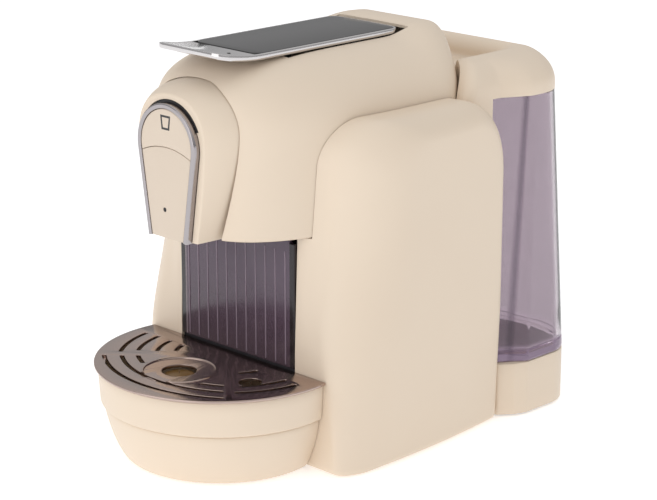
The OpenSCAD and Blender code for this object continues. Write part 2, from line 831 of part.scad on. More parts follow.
module nozzle_plate() {
  put() color(dark) difference() {
    union() {
      intersection() {
        body_prism(-wall - seam, head_h + 0.2, head_h + 3);
        translate([-100, -cowl_back + 0.6, 0]) cube([200, 12 + cowl_back, 200]);
      }
      translate([-15.5, -43, head_h + 0.2]) cube([31, 43 - cowl_back + 1, 2.8]);
    }
    translate([0, spout_y, 130]) cylinder(r = 5.5, h = 30);
  }
}

// ---------------------------------------------------------------- frame
screw_r = 2;
screw_spots = [[48, 14], [48, 130]];
frame_foot = base_top + play;

module base_plate() {
  put() color(steel) translate([0, 0, floor_top + play]) difference() {
    linear_extrude(base_top - floor_top - play) polygon(both_sides([[0, 1], [60, 4], [88, 30], [88, 100],
      [80, 136], [44, 139], [44, 153], [84, 156], [84, 196], [60, 206], [0, 206]]));
    for (m = [-1, 1], s = foot_spots) translate([m * s[0], s[1], -1]) cylinder(r = foot_stem_r + 0.2, h = 9);
    for (m = [-1, 1], s = screw_spots) translate([m * s[0], s[1], -1]) cylinder(r = screw_r + 0.2, h = 9);
    for (m = [-1, 1]) translate([m * 30, 8, -1]) cylinder(r = screw_r + 0.2, h = 9);
  }
}

foot_stem_r = 2.5;

module rubber_feet() {
  put() color(rubber) for (m = [-1, 1], s = foot_spots) translate([m * s[0], s[1], 0]) {
    cylinder(r = foot_r, h = floor_top);
    cylinder(r = foot_stem_r, h = base_top);
  }
}

module base_screws() {
  put() color(steel) {
    for (m = [-1, 1], s = screw_spots) translate([m * s[0], s[1], floor_top - 2.2]) {
      cylinder(r = 3.6, h = 2.2);
      cylinder(r = screw_r, h = 16);
    }
    for (m = [-1, 1]) translate([m * 30, 8, bowl_h - 0.2]) {
      cylinder(r = screw_r, h = 7);
      translate([0, 0, -1.6]) cylinder(r = 3.6, h = 1.6);
    }
  }
}

hose_hole = [88, 30];

module frame_side() {
  color(grey) difference() {
    union() {
      // its front edge leans back with the cover's front wall
      rotate([90, 0, 90]) translate([0, 0, frame_x]) linear_extrude(frame_t) polygon([[4, frame_foot],
        [139, frame_foot], [139, head_h - 2], [131, head_h + 4], [131, frame_top], [17, frame_top], [17, head_h - 2],
        [5.5, head_h - 8], [4, head_h - 48]]);
      for (s = screw_spots) translate([s[0], s[1], frame_foot]) cylinder(r = 5, h = 14);
      translate([frame_x - 3, 4, shelf_top - shelf_t - play - 2.5]) cube([4, 108, 2.5]);
    }
    for (s = screw_spots) translate([s[0], s[1], 0]) cylinder(r = screw_r + 0.05, h = 21);
    rod(hose_hole[0], hose_hole[1], hose_out + 1, frame_x - 1, 6);
    rod(60, brew_h - 40, 7, frame_x - 1, 6);
    rod(82, brew_h, 5, frame_x - 1, 6);
  }
}

module frame_right() {
  put() frame_side();
}

module frame_left() {
  put() mirror([1, 0, 0]) frame_side();
}

module bay_shelf() {
  put() color(grey) translate([-frame_in, 3, shelf_top - shelf_t]) cube([2 * frame_in, 110, shelf_t]);
}

module rear_bulkhead() {
  put() color(grey) difference() {
    translate([-78, bulkhead_y, frame_foot]) cube([156, 2.8, head_h - 1 - frame_foot]);
    translate([socket_x, bulkhead_y - 1, socket_pipe_h]) rotate([-90, 0, 0]) cylinder(r = 5, h = 6);
    translate([-74, bulkhead_y - 1, 16]) cube([20, 6, 10]);
  }
}

// ---------------------------------------------------------------- tank
tank_y = 180;
tank_corner_r = 25;
socket_x = 0;
socket_pipe_h = 24;

// Right half of the pedestal's and tank's plan; corner is where the front facet starts and ends
function tank_plan(half_w, front, c0, c1) = both_sides(concat(
  [c0, c1, [half_w, c1[1] + 9]],
  arc([half_w - tank_corner_r, tank_back - tank_corner_r], tank_corner_r, 4, 90, 8)));

function scaled_plan(plan, inset, z) = [for (p = plan)
  let (x = p[0] * (1 - inset / tank_half_w),
    y = tank_y + (p[1] - tank_y) * (1 - inset / (tank_back - tank_y)))
  [x, y, z]];

function flat_plan(plan, inset) = [for (p = scaled_plan(plan, inset, 0)) [p[0], p[1]]];

function pedestal_plan() = tank_plan(tank_half_w + 0.8, pedestal_y, [84, pedestal_y], [91, 155]);

module tank_pedestal() {
  put() color(cream) {
    difference() {
      translate([0, 0, foot_h]) linear_extrude(tank_foot_h - foot_h) polygon(flat_plan(pedestal_plan(), 0));
      translate([0, 0, foot_h - 1]) linear_extrude(tank_foot_h - wall - foot_h + 1)
        polygon(flat_plan(pedestal_plan(), wall));
      translate([0, tank_y, 10]) cylinder(r = socket_r + play, h = 40);
      translate([socket_x, pedestal_y - 1, socket_pipe_h]) rotate([-90, 0, 0]) cylinder(r = 5, h = 10);
      translate([-44.1, pedestal_y - 1, -1]) cube([88.2, 12, base_top + play + 1]);
      translate([switch_x, tank_back - 10, 20]) cube([24.6, 30, 14.6], center = true);
      translate([cord_x, tank_back - 10, 20]) rotate([-90, 0, 0]) cylinder(r = 8.3, h = 20);
    }
    for (m = [-1, 1]) translate([m * 40, 165, frame_foot]) cylinder(r = 5, h = tank_foot_h - 1 - frame_foot);
  }
}

socket_r = 15;

module tank_socket() {
  put() color(grey) difference() {
    union() {
      translate([0, tank_y, frame_foot]) cylinder(r = socket_r, h = tank_foot_h - 1 - frame_foot);
      translate([0, bulkhead_y - 12, socket_pipe_h]) rotate([-90, 0, 0])
        cylinder(r = nipple_r, h = tank_y - bulkhead_y + 6);
    }
    translate([0, tank_y, 29]) cylinder(r = outlet_r + 2.6, h = 20);
    translate([0, tank_y, 20]) cylinder(r = 4, h = 20);
    translate([0, bulkhead_y - 13, socket_pipe_h]) rotate([-90, 0, 0]) cylinder(r = 1.3, h = tank_y - bulkhead_y + 12);
  }
}

module socket_seal() {
  put() color(rubber) translate([0, tank_y, 29 + play]) difference() {
    cylinder(r = outlet_r + 2.5, h = 3);
    translate([0, 0, -1]) cylinder(r = outlet_r + 0.1, h = 5);
  }
}

tank_foot = tank_foot_h + play;

function tank_ring(z, inset) =
  let (k = (z - tank_foot) / (tank_rim_h - tank_foot))
  scaled_plan(tank_plan(tank_half_w - tank_draft * k, tank_front, [82 - 12 * k, tank_front], [87 - 1.5 * k, 155 + 15 * k]),
    inset, z);

module water_tank() {
  put() color([0.6, 0.56, 0.65, 0.5]) difference() {
    shell_stack([for (z = [tank_rim_h, tank_foot]) backwards(tank_ring(z, 0))],
      [for (z = [tank_rim_h, tank_foot + 3]) backwards(tank_ring(z, tank_wall))]);
    translate([0, tank_y, 0]) cylinder(r = outlet_r, h = 60);
  }
}

bush_top = tank_foot + 10;
valve_seat = 32;

module valve_bush() {
  put() color(grey) translate([0, tank_y, 0]) difference() {
    union() {
      translate([0, 0, valve_seat - 2.6]) cylinder(r = outlet_r - 0.05, h = bush_top - valve_seat + 2.6);
      translate([0, 0, tank_foot + 3 + play]) cylinder(r = outlet_r + 3, h = 2);
    }
    cylinder(r = 3.4, h = 100);
    translate([0, 0, valve_seat]) cylinder(r = 6.6, h = bush_top - 2 - valve_seat);
    for (a = [0, 90]) translate([0, 0, bush_top - 3.6]) rotate([0, 0, a]) cube([30, 4, 3.2], center = true);
  }
}

module valve_stem() {
  put() color(white) translate([0, tank_y, 0]) union() {
    translate([0, 0, valve_seat + play]) cylinder(r = 5.8, h = 2);
    translate([0, 0, valve_seat - 4]) cylinder(r = 1.5, h = bush_top - valve_seat + 4);
  }
}

module coil(r, wire, turns, pitch) {
  for (i = [0 : turns - 1]) translate([0, 0, i * pitch]) rotate_extrude($fn = 40) translate([r, 0]) circle(wire, $fn = 20);
  for (i = [0 : turns - 2]) rotate([0, 0, i * 180]) translate([r, 0, i * pitch]) cylinder(r = wire * 0.8, h = pitch, $fn = 20);
}

module valve_spring() {
  put() color(steel) translate([0, tank_y, valve_seat + 2.6 + play + 0.4]) coil(3.4, 0.4, 4, 2.7);
}

// ---------------------------------------------------------------- tank lid
lid_foot = 183;
lid_front = 121;
lid_half_w = 88;
lid_corner_r = 29;
lobe_half_w = 75;
pocket_half_w = 46;
pocket_foot = 216;

// The lid's outline from above, moved inwards by inset
function lid_plan(inset) = both_sides(concat(
  arc([lobe_half_w - 8, lid_front + 8], 8 - inset, -90, 0, 5),
  [[lobe_half_w + 0.5 - inset, tank_front + 4], [lid_half_w - inset, 172]],
  arc([lid_half_w - lid_corner_r, tank_back - lid_corner_r], lid_corner_r - inset, 0, 90, 8)));

lid_flat_w = 50;
lid_shoulder = tank_rim_h + 4;
lid_steps = [0, 0.2, 0.4, 0.58, 0.74, 0.86, 0.95, 1];

function lid_dome_z(t, inset) = lid_shoulder + t * (lid_h - inset - lid_shoulder);

// The lid seen from the front, as (x, z), and from the side, as (y, z)
function lid_front_view(inset) = both_sides(concat([[lid_half_w + 5, lid_foot - 5], [lid_half_w + 5, lid_shoulder],
  [lid_half_w - inset, lid_shoulder]], [for (t = lid_steps) if (t > 0)
    [lid_flat_w + (lid_half_w - inset - lid_flat_w) * dome(t, 2.2), lid_dome_z(t, inset)]]));

function lid_side_view(inset) = concat(
  [[lid_front - 5, lid_foot - 5], [lid_front - 5, lid_shoulder]],
  [for (t = lid_steps) [lid_front + inset + 8 * (1 - dome(t, 2.2)), lid_dome_z(t, inset)]],
  [for (t = backwards(lid_steps)) [tank_back - inset - 11 * (1 - dome(t, 2.2)), lid_dome_z(t, inset)]],
  [[tank_back + 5, lid_shoulder], [tank_back + 5, lid_foot - 5]]);

module lid_block(inset) {
  intersection() {
    translate([0, 0, lid_foot - inset]) linear_extrude(lid_h - lid_foot) polygon(lid_plan(inset));
    upright(240, 240) polygon(lid_front_view(inset));
    rotate([90, 0, 90]) linear_extrude(240, center = true) polygon(lid_side_view(inset));
  }
}

// The body's rear corners as true rounds, grown by gap
module body_rear(gap) {
  translate([0, 0, 100]) linear_extrude(200) {
    for (m = [-1, 1]) translate([m * (body_half_w - body_corner_r), body_back - body_corner_r]) circle(body_corner_r + gap);
    translate([body_corner_r - body_half_w, 60]) square([2 * (body_half_w - body_corner_r), body_back - 60 + gap]);
    translate([-body_half_w - gap, 60]) square([2 * (body_half_w + gap), body_back - body_corner_r - 60]);
  }
}

module lid_form(inset, drop) {
  difference() {
    lid_block(inset);
    body_rear(seam + 0.2 + inset);
    translate([-150, tank_front - 1.2 - inset, 0]) cube([300, 100, tank_rim_h + play - drop]);
    // the lobes rest over the covers' rear rounds
    translate([0, cover_back - cover_rear_r, cover_h - cover_rear_r]) rotate([0, 90, 0])
      cylinder(r = cover_rear_r + seam + 0.2 + inset, h = 400, center = true, $fn = 180);
    translate([-pocket_half_w - inset, 100, pocket_foot - inset]) cube([2 * (pocket_half_w + inset), 94 + inset, 100]);
  }
}

module tank_lid() {
  put() color(cream) difference() {
    lid_form(0, 0);
    lid_form(wall, 1);
  }
}

// ---------------------------------------------------------------- water and power
function cross3(a, b) = [a[1] * b[2] - a[2] * b[1], a[2] * b[0] - a[0] * b[2], a[0] * b[1] - a[1] * b[0]];

// Draws its children with their axes along a, b, c and their origin at p
module aligned(a, b, c, p) {
  multmatrix([[a[0], b[0], c[0], p[0]], [a[1], b[1], c[1], p[1]], [a[2], b[2], c[2], p[2]], [0, 0, 0, 1]]) children();
}

function leg_start(start, legs, bend, i) = i == 0 ? start
  : leg_start(start, legs, bend, i - 1) + legs[i - 1][0] * legs[i - 1][1] + bend * (legs[i - 1][0] + legs[i][0]);

module pipe_run(start, legs, bend, r, extra) {
  for (i = [0 : len(legs) - 1]) {
    u = legs[i][0];
    a = [u[1], u[2], u[0]];
    p = leg_start(start, legs, bend, i);
    e0 = i == 0 ? extra : 0;
    e1 = i == len(legs) - 1 ? extra : 0;
    aligned(a, cross3(u, a), u, p - u * e0) cylinder(r = r, h = legs[i][1] + e0 + e1, $fn = 32);
    if (i < len(legs) - 1) {
      v = legs[i + 1][0];
      aligned(-v, u, cross3(-v, u), p + u * legs[i][1] + bend * v)
        rotate_extrude(angle = 90, $fn = 48) translate([bend, 0]) circle(r, $fn = 32);
    }
  }
}

module hose(start, legs, bend) {
  difference() {
    pipe_run(start, legs, bend, hose_out, 0);
    pipe_run(start, legs, bend, hose_in, 0.5);
  }
}

module brew_hose() {
  // from the infusion plate forward and down to the spout
  put() color(white) hose([0, infusion_y - play, brew_hose_h],
    [[[0, -1, 0], infusion_y - play - spout_y - 10], [[0, 0, -1], brew_hose_h - 10 - head_h - 5.6]], 10);
}

pump_y = 88;
pump_h = 30;

module pump() {
  put() color(dark) difference() {
    union() {
      rod(pump_y, pump_h, 9, -34, 68);
      translate([-23, pump_y - 18, pump_h - 17]) cube([46, 36, 34]);
      rod(pump_y, pump_h, nipple_r, -38, 82);
    }
    rod(pump_y, pump_h, 1.3, -50, 100);
  }
}

module pump_mounts() {
  put() color(rubber) mirrored() difference() {
    translate([26, pump_y - 14, frame_foot]) cube([5, 28, pump_h + 13 - frame_foot]);
    rod(pump_y, pump_h, 9.1, 20, 20);
  }
}

meter_x = -22;
meter_y = 122;

module flow_meter() {
  put() color(white) difference() {
    union() {
      translate([meter_x, meter_y, frame_foot]) cylinder(r = 12.5, h = 28);
      rod(meter_y, pump_h, nipple_r, meter_x - 16, 16);
      rod(meter_y, socket_pipe_h, nipple_r, meter_x, 16);
    }
    rod(meter_y, pump_h, 1.3, meter_x - 21, 20);
    rod(meter_y, socket_pipe_h, 1.3, meter_x + 6, 20);
  }
}

module inlet_hose() {
  put() color(white) {
    // from the tank socket to the flow meter
    hose([0, bulkhead_y - 0.4, socket_pipe_h], [[[0, -1, 0], bulkhead_y - 0.4 - meter_y - 6], [[-1, 0, 0], 2.7]], 6);
    // from the flow meter to the pump
    hose([meter_x - 12.8, meter_y, pump_h], [[[-1, 0, 0], 3.2], [[0, -1, 0], meter_y - pump_y - 12],
      [[1, 0, 0], 3.4]], 6);
  }
}

block_x = frame_out + play;
block_y = 30;
block_foot = 60;
block_in = [70, 88];
block_out = [block_x + 4.8, 82];

module thermoblock() {
  put() color(steel) difference() {
    union() {
      translate([block_x, block_y, block_foot]) cube([25, 84, 62]);
      for (y = [0 : 6]) translate([block_x + 24.9, block_y + 6 + 12 * y, block_foot + 6]) cube([2.4, 3, 50]);
      translate([block_in[0], block_in[1], block_foot - 10]) cylinder(r = nipple_r, h = 12);
      translate([block_out[0], block_out[1], block_foot + 61]) cylinder(r = nipple_r, h = 11);
    }
    translate([block_in[0], block_in[1], block_foot - 11]) cylinder(r = 1.3, h = 30);
    translate([block_out[0], block_out[1], block_foot + 50]) cylinder(r = 1.3, h = 30);
  }
}

module thermostat() {
  put() color(dark) translate([block_x + 10, 50, block_foot + 62 + play]) union() {
    cylinder(r = 8, h = 8);
    translate([-6, -1, 7]) cube([3, 2, 6]);
    translate([3, -1, 7]) cube([3, 2, 6]);
  }
}

module pressure_hose() {
  // from the pump through the frame and up to the thermoblock
  put() color(white) hose([34.3, pump_y, pump_h], [[[1, 0, 0], block_in[0] - 10 - 34.3],
    [[0, 0, 1], block_foot - play - pump_h - 10]], 10);
}

module hot_hose() {
  // from the thermoblock up and inwards to the brew group
  top = block_foot + 62 + play;
  put() color(white) hose([block_out[0], block_out[1], top], [[[0, 0, 1], brew_h - 8 - top],
    [[-1, 0, 0], block_out[0] - 8 - piston_r - 3 - play]], 8);
}

board_x = frame_out + 5;

module control_board() {
  put() color([0.15, 0.4, 0.25]) mirror([1, 0, 0]) {
    translate([board_x, 32, 58]) cube([1.6, 80, 78]);
    for (y = [40, 104], z = [64, 130]) rod(y, z, 3, frame_out + play, board_x - frame_out);
    translate([board_x + 1.5, 46, 84]) cube([19.5, 30, 26]);
    translate([board_x + 1.5, 88, 70]) cube([11.5, 14, 30]);
    for (y = [44, 60, 76]) rod(y, 124, 4, board_x + 1.5, 13.6);
  }
}

switch_x = -52;
cord_x = -20;

module switch_housing() {
  put() color(dark) difference() {
    union() {
      translate([switch_x, tank_back - 10.4, 20]) cube([24, 22, 14], center = true);
      translate([switch_x - 14, tank_back + 0.2, 11]) cube([28, rear_trim - 0.2, 18]);
    }
    translate([switch_x, tank_back + 2, 20]) cube([20, 20, 11], center = true);
    translate([switch_x, tank_back - 2, 20]) rotate([0, 90, 0]) cylinder(r = 1.1, h = 22, center = true);
  }
}

module power_rocker() {
  put() color(rubber) translate([switch_x, tank_back - 2, 20]) union() {
    rotate([90, 0, 90]) linear_extrude(19.2, center = true) polygon([[-2, -3.5], [2.3, -4.9], [3.1, 0], [2.3, 4.9], [-2, 3.5]]);
    rotate([0, 90, 0]) cylinder(r = 1.05, h = 21.6, center = true);
  }
}

module cord_inlet() {
  put() color(dark) translate([cord_x, tank_back, 20]) rotate([-90, 0, 0]) difference() {
    union() {
      translate([0, 0, -14]) cylinder(r = 8, h = 14 + rear_trim);
      translate([0, 0, 0.2]) cylinder(r = 10, h = rear_trim - 0.2);
    }
    translate([0, 0, -12]) cylinder(r = 4, h = 20);
  }
}

switch_foot = brew_h + 8.5;

module button_switch() {
  y = -plunger_back + 7.8;
  put() color(dark) {
    translate([-6, y, switch_foot]) cube([12, 8, plunger_h + 5 - switch_foot]);
    translate([-24, y + 8 - 0.1, switch_foot]) cube([48, 2.5, 9]);
    mirrored() translate([21, y + 8, switch_foot]) cube([3, infusion_y - play - y - 8, 3.5]);
  }
}

module button_spring() {
  put() color(steel) translate([0, -plunger_back + 7.8 - 0.7, plunger_h]) rotate([90, 0, 0]) coil(2.4, 0.4, 3, 2);
}

base_plate();
rubber_feet();
bowl_foot();
front_bowl();
drip_tray();
drip_grid();
level_float();
capsule_container();
frame_left();
frame_right();
bay_shelf();
rear_bulkhead();
left_cover();
right_cover();
head_shell();
front_cowl();
chrome_arch();
badge_panel();
brew_button();
cup_icon();
button_spring();
button_switch();
status_lamp();
nozzle_plate();
coffee_spout();
lever_frame();
lever_insert();
lever_pin();
hinge_bracket();
rocker_arms();
rocker_pin();
injection_piston();
piston_yoke();
piercing_plate();
brew_seal();
piston_guide();
infusion_plate();
capsule_chute();
tank_pedestal();
tank_socket();
socket_seal();
water_tank();
valve_bush();
valve_stem();
valve_spring();
tank_lid();
pump();
pump_mounts();
thermoblock();
thermostat();
hot_hose();
flow_meter();
inlet_hose();
pressure_hose();
brew_hose();
control_board();
switch_housing();
power_rocker();
cord_inlet();
base_screws();
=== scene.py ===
# A pod coffee machine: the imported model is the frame, and this dresses it.
import json
import math

import bmesh
import bpy
import numpy as np
from mathutils import Matrix, Vector


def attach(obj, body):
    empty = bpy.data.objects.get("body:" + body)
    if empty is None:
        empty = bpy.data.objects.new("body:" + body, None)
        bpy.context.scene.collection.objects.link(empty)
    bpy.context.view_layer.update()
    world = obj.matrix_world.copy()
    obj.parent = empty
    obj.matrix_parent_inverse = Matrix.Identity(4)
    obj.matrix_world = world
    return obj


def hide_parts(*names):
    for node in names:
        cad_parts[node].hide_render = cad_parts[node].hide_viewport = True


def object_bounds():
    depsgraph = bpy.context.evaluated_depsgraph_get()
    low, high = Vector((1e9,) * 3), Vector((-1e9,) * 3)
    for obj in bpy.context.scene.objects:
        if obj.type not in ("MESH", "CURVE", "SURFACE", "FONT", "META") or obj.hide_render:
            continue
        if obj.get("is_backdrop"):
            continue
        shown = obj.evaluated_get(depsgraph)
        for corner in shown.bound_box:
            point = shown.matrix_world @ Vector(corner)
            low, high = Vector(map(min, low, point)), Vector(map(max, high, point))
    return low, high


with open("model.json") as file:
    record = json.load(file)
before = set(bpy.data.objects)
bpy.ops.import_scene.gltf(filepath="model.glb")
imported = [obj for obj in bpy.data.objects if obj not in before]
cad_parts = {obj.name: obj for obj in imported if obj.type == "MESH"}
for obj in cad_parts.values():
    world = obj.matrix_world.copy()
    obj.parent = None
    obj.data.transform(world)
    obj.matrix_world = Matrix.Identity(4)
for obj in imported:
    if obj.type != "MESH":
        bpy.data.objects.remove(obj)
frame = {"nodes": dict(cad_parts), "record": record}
cadBox = [[float(v) for v in corner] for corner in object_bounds()]
cad = frame["nodes"]
bodyOf = {node: body for body, nodes in frame["record"]["behaviour"]["bodies"].items() for node in nodes}

# sizes are in millimetres, and y is measured from the splash panel's face but for the lamps and the finishes
splashY = -62.7


# camera and light
camera = {"place": (939.0, -860.0, 501.5), "turn": 45.0, "tilt": 16.5, "lens": 120.55, "sensor": 36,
          "farMetres": 50}
light = {"world": 0.76, "horizon": 0.52, "fullFrom": 0.75, "aim": (0, 0, 120),
         "lamps": [("keyLamp", (0, -2200, 500), 2300, 19.0, (1.0, 0.99, 0.98)),
                   ("sideLamp", (1900, -300, 800), 2200, 0.8, (1.0, 0.99, 0.98)),
                   ("overLamp", (100, 300, 1900), 2400, 4.4, (1.0, 1.0, 1.0))]}


def added(name, data):
    obj = bpy.data.objects.new(name, data)
    bpy.context.scene.collection.objects.link(obj)
    return obj


def addCamera():
    data = bpy.data.cameras.new("camera")
    data.lens, data.sensor_width, data.clip_end = camera["lens"], camera["sensor"], camera["farMetres"]
    obj = added("camera", data)
    x, y, z = camera["place"]
    obj.location = (x / 1000, (y + splashY) / 1000, z / 1000)
    obj.rotation_euler = (math.radians(90 - camera["tilt"]), 0, math.radians(camera["turn"]))
    bpy.context.scene.camera = obj


def addLights():
    for name, place, size, watts, tint in light["lamps"]:
        data = bpy.data.lights.new(name, "AREA")
        data.energy, data.size, data.color = watts, size / 1000, tint
        lamp = added(name, data)
        lamp.location = Vector(place) / 1000
        away = Vector(light["aim"]) / 1000 - lamp.location
        lamp.rotation_euler = away.to_track_quat("-Z", "Y").to_euler()
    world = bpy.data.worlds.new("studio")
    world.use_nodes = True
    tree = world.node_tree
    tree.nodes.clear()
    out, glow, way, split, ramp = [tree.nodes.new("ShaderNode" + kind) for kind in (
        "OutputWorld", "Background", "TexCoord", "SeparateXYZ", "ValToRGB")]
    low, high = ramp.color_ramp.elements
    low.position, low.color = 0.0, (light["horizon"], light["horizon"], light["horizon"] * 1.01, 1)
    high.position, high.color = light["fullFrom"], (1.0, 1.0, 1.0, 1)
    for source, target in ((way.outputs["Generated"], split.inputs[0]), (split.outputs[2], ramp.inputs[0]),
                           (ramp.outputs[0], glow.inputs["Color"]), (glow.outputs[0], out.inputs[0])):
        tree.links.new(source, target)
    glow.inputs["Strength"].default_value = light["world"]
    bpy.context.scene.world = world


addCamera()
addLights()
bpy.context.scene.view_settings.view_transform = "Standard"
print("camera and lights set")


# finishes: a Field is one socket that takes part in sums, a Paint is one material
class Field:
    def __init__(self, paint, socket):
        self.paint, self.socket = paint, socket

    def sumOf(self, kind, *values):
        return self.paint.put("ShaderNodeMath", {"operation": kind}, dict(enumerate(values)))

    def __add__(self, b):
        return self.sumOf("ADD", self, b)

    def __radd__(self, a):
        return self.sumOf("ADD", a, self)

    def __sub__(self, b):
        return self.sumOf("SUBTRACT", self, b)

    def __rsub__(self, a):
        return self.sumOf("SUBTRACT", a, self)

    def __mul__(self, b):
        return self.sumOf("MULTIPLY", self, b)

    def __rmul__(self, a):
        return self.sumOf("MULTIPLY", a, self)

    def __abs__(self):
        return self.sumOf("ABSOLUTE", self)


class Paint:
    def __init__(self, name, **constants):
        self.material = bpy.data.materials.new(name)
        self.material.use_nodes = True
        self.tree = self.material.node_tree
        self.tree.nodes.clear()
        self.shader = self.tree.nodes.new("ShaderNodeBsdfPrincipled")
        end = self.tree.nodes.new("ShaderNodeOutputMaterial")
        self.tree.links.new(self.shader.outputs[0], end.inputs[0])
        self.wear(**constants)

    def feed(self, node, socket, value):
        if isinstance(value, Field):
            self.tree.links.new(value.socket, node.inputs[socket])
        else:
            node.inputs[socket].default_value = value

    def put(self, kind, settings=None, values=None, out=0):
        node = self.tree.nodes.new(kind)
        for key, value in (settings or {}).items():
            setattr(node, key, value)
        for socket, value in (values or {}).items():
            self.feed(node, socket, value)
        return Field(self, node.outputs[out])

    def place(self, stretch=(1, 1, 1), turn=(0, 0, 0)):
        here = self.put("ShaderNodeTexCoord", out=3)
        return self.put("ShaderNodeMapping", {}, {0: here, 2: turn, 3: stretch})

    def along(self, axis):
        # how far a point lies along x, y or z
        return self.put("ShaderNodeSeparateXYZ", {}, {0: self.place()}, "xyz".index(axis))

    def noise(self, scale, detail=2.0, rough=0.5, warp=0.0, stretch=(1, 1, 1)):
        return self.put("ShaderNodeTexNoise", {"noise_dimensions": "3D"},
                        {"Vector": self.place(stretch), "Scale": scale, "Detail": detail, "Roughness": rough,
                         "Distortion": warp})

    def cells(self, scale):
        return self.put("ShaderNodeTexVoronoi", {"feature": "F1"}, {"Vector": self.place(), "Scale": scale})

    def mix(self, share, a, b):
        return self.put("ShaderNodeMix", {"data_type": "RGBA"}, {0: share, 6: a, 7: b}, 2)

    def clear(self, value, low, high):
        # 0 at low, 1 at high
        return self.put("ShaderNodeMapRange", {"clamp": True}, {0: value, 1: low, 2: high, 3: 0.0, 4: 1.0})

    def grain(self, height, strength, depth):
        return self.put("ShaderNodeBump", {}, {"Height": height, "Strength": strength, "Distance": depth})

    def wear(self, **fields):
        for socket, value in fields.items():
            self.feed(self.shader, socket.replace("_", " "), value)
        return self.material


def tone(r, g, b):
    line = [v / 255 for v in (r, g, b)]
    return tuple(v / 12.92 if v <= 0.04045 else ((v + 0.055) / 1.055) ** 2.4 for v in line) + (1.0,)


def shaded(base, share):
    return tuple(v * share for v in base[:3]) + (1.0,)


def satinShell(name, base, deep):
    # moulded plastic: a fine spark-eroded grain, faint cloudiness in colour and gloss
    paint = Paint(name, IOR=1.5, Coat_Roughness=0.25)
    cloud = paint.noise(9, 3, 0.55)
    fine = paint.noise(1500, 2, 0.6)
    pores = paint.cells(2600)
    return paint.wear(Base_Color=paint.mix(cloud * 0.9, base, deep),
                      Roughness=0.4 + 0.10 * paint.noise(40, 3) + 0.05 * fine,
                      Coat_Weight=0.06 + 0.05 * cloud,
                      Normal=paint.grain(fine * 0.7 + pores * 0.3, 0.10, 0.00012))


def platedMetal(name, base, rough=0.07, drag=(1, 1, 1), lines=0.0):
    # polished plating, with hairlines along one way where drag is uneven
    paint = Paint(name, Metallic=1.0)
    hair = paint.noise(700, 3, 0.6, 0, drag)
    smear = paint.noise(26, 3)
    return paint.wear(Base_Color=paint.mix(smear * 0.35, base, shaded(base, 0.93)),
                      Roughness=rough + 0.05 * smear + lines * hair,
                      Normal=paint.grain(hair * 0.6 + smear * 0.4, 0.04 + lines * 0.3, 0.00005))


# where the tones of the smoked pieces change, painted shade and a painted highlight among them, in metres
# and in the frame's own directions
panelTone = {"footShade": (0.062, 0.122), "sideShade": (0.0462, 0.0468), "sideShadeTone": tone(40, 32, 37),
             "line": -0.0458, "highlightEdge": (0.0005, 0.0003), "highlightTone": tone(176, 160, 166)}
tankTone = {"bendSlope": 0.0884, "bendAt": 0.0891, "bendEdge": (0.0022, 0.0006), "face": (0.0868, 0.0858),
            "foot": (0.0475, 0.0455), "footGlow": tone(56, 48, 57)}


def smokedPanel(name, base, low):
    # deep tinted plastic: painted shade darkens it towards the foot and in a strip at each side, and one
    # pale line is a painted highlight
    paint = Paint(name, IOR=1.5, Transmission_Weight=0.45)
    marks = panelTone
    x, z = paint.along("x"), paint.along("z")
    drift = paint.noise(18, 3, 0.5, 0.4, (1, 1, 0.4))
    # painted shade: darker towards the foot and in a strip at each side; painted highlight: the pale line
    # near its left side
    shade = paint.mix(paint.clear(z + drift * 0.006, *marks["footShade"]), low, base)
    shade = paint.mix(paint.clear(abs(x), *marks["sideShade"]), shade, marks["sideShadeTone"])
    shade = paint.mix(paint.clear(abs(x - marks["line"]), *marks["highlightEdge"]), shade, marks["highlightTone"])
    return paint.wear(Base_Color=shade, Roughness=0.17 + 0.05 * drift,
                      Normal=paint.grain(drift, 0.03, 0.0003))


def smokedTank(name, base, deep):
    # clear tinted plastic: painted shade darkens the near face and a line along the bend beside it, with
    # soft upright bands, and a painted glow lights the foot
    paint = Paint(name, IOR=1.45, Transmission_Weight=1.0, Roughness=0.03, Emission_Strength=1.0)
    marks = tankTone
    y, z = paint.along("y"), paint.along("z")
    # painted shade: the line along the bend and the near face stand in for walls seen edge-on
    bend = paint.clear(abs(y - z * marks["bendSlope"] - marks["bendAt"]), *marks["bendEdge"])
    bands = paint.noise(34, 2, 0.5, 0, (1, 1, 0.06))
    bendShadeAndBands = paint.mix(bend * 0.8, paint.mix(bands * 0.35, base, shaded(base, 0.86)), deep)
    # painted light: the foot glows faintly though no lamp is there
    glow = paint.mix(paint.clear(z, *marks["foot"]), (0, 0, 0, 1), marks["footGlow"])
    return paint.wear(Base_Color=paint.mix(paint.clear(y, *marks["face"]) * 0.85, bendShadeAndBands, deep),
                      Emission_Color=glow, Normal=paint.grain(paint.noise(30, 1), 0.02, 0.0001))


def moulded(name, base, rough, scale=1100, depth=0.1):
    paint = Paint(name, IOR=1.48)
    fine = paint.noise(scale, 3, 0.6)
    return paint.wear(Base_Color=paint.mix(paint.noise(22, 2) * 0.8, base, shaded(base, 0.9)),
                      Roughness=rough + 0.14 * fine, Normal=paint.grain(fine, depth, 0.00015))


def castMetal(name, base):
    paint = Paint(name, Metallic=0.85)
    pits = paint.cells(900)
    cloud = paint.noise(60, 4, 0.6)
    return paint.wear(Base_Color=paint.mix(cloud, base, shaded(base, 0.75)),
                      Roughness=0.38 + 0.2 * pits, Normal=paint.grain(pits * 0.5 + cloud * 0.5, 0.3, 0.0003))


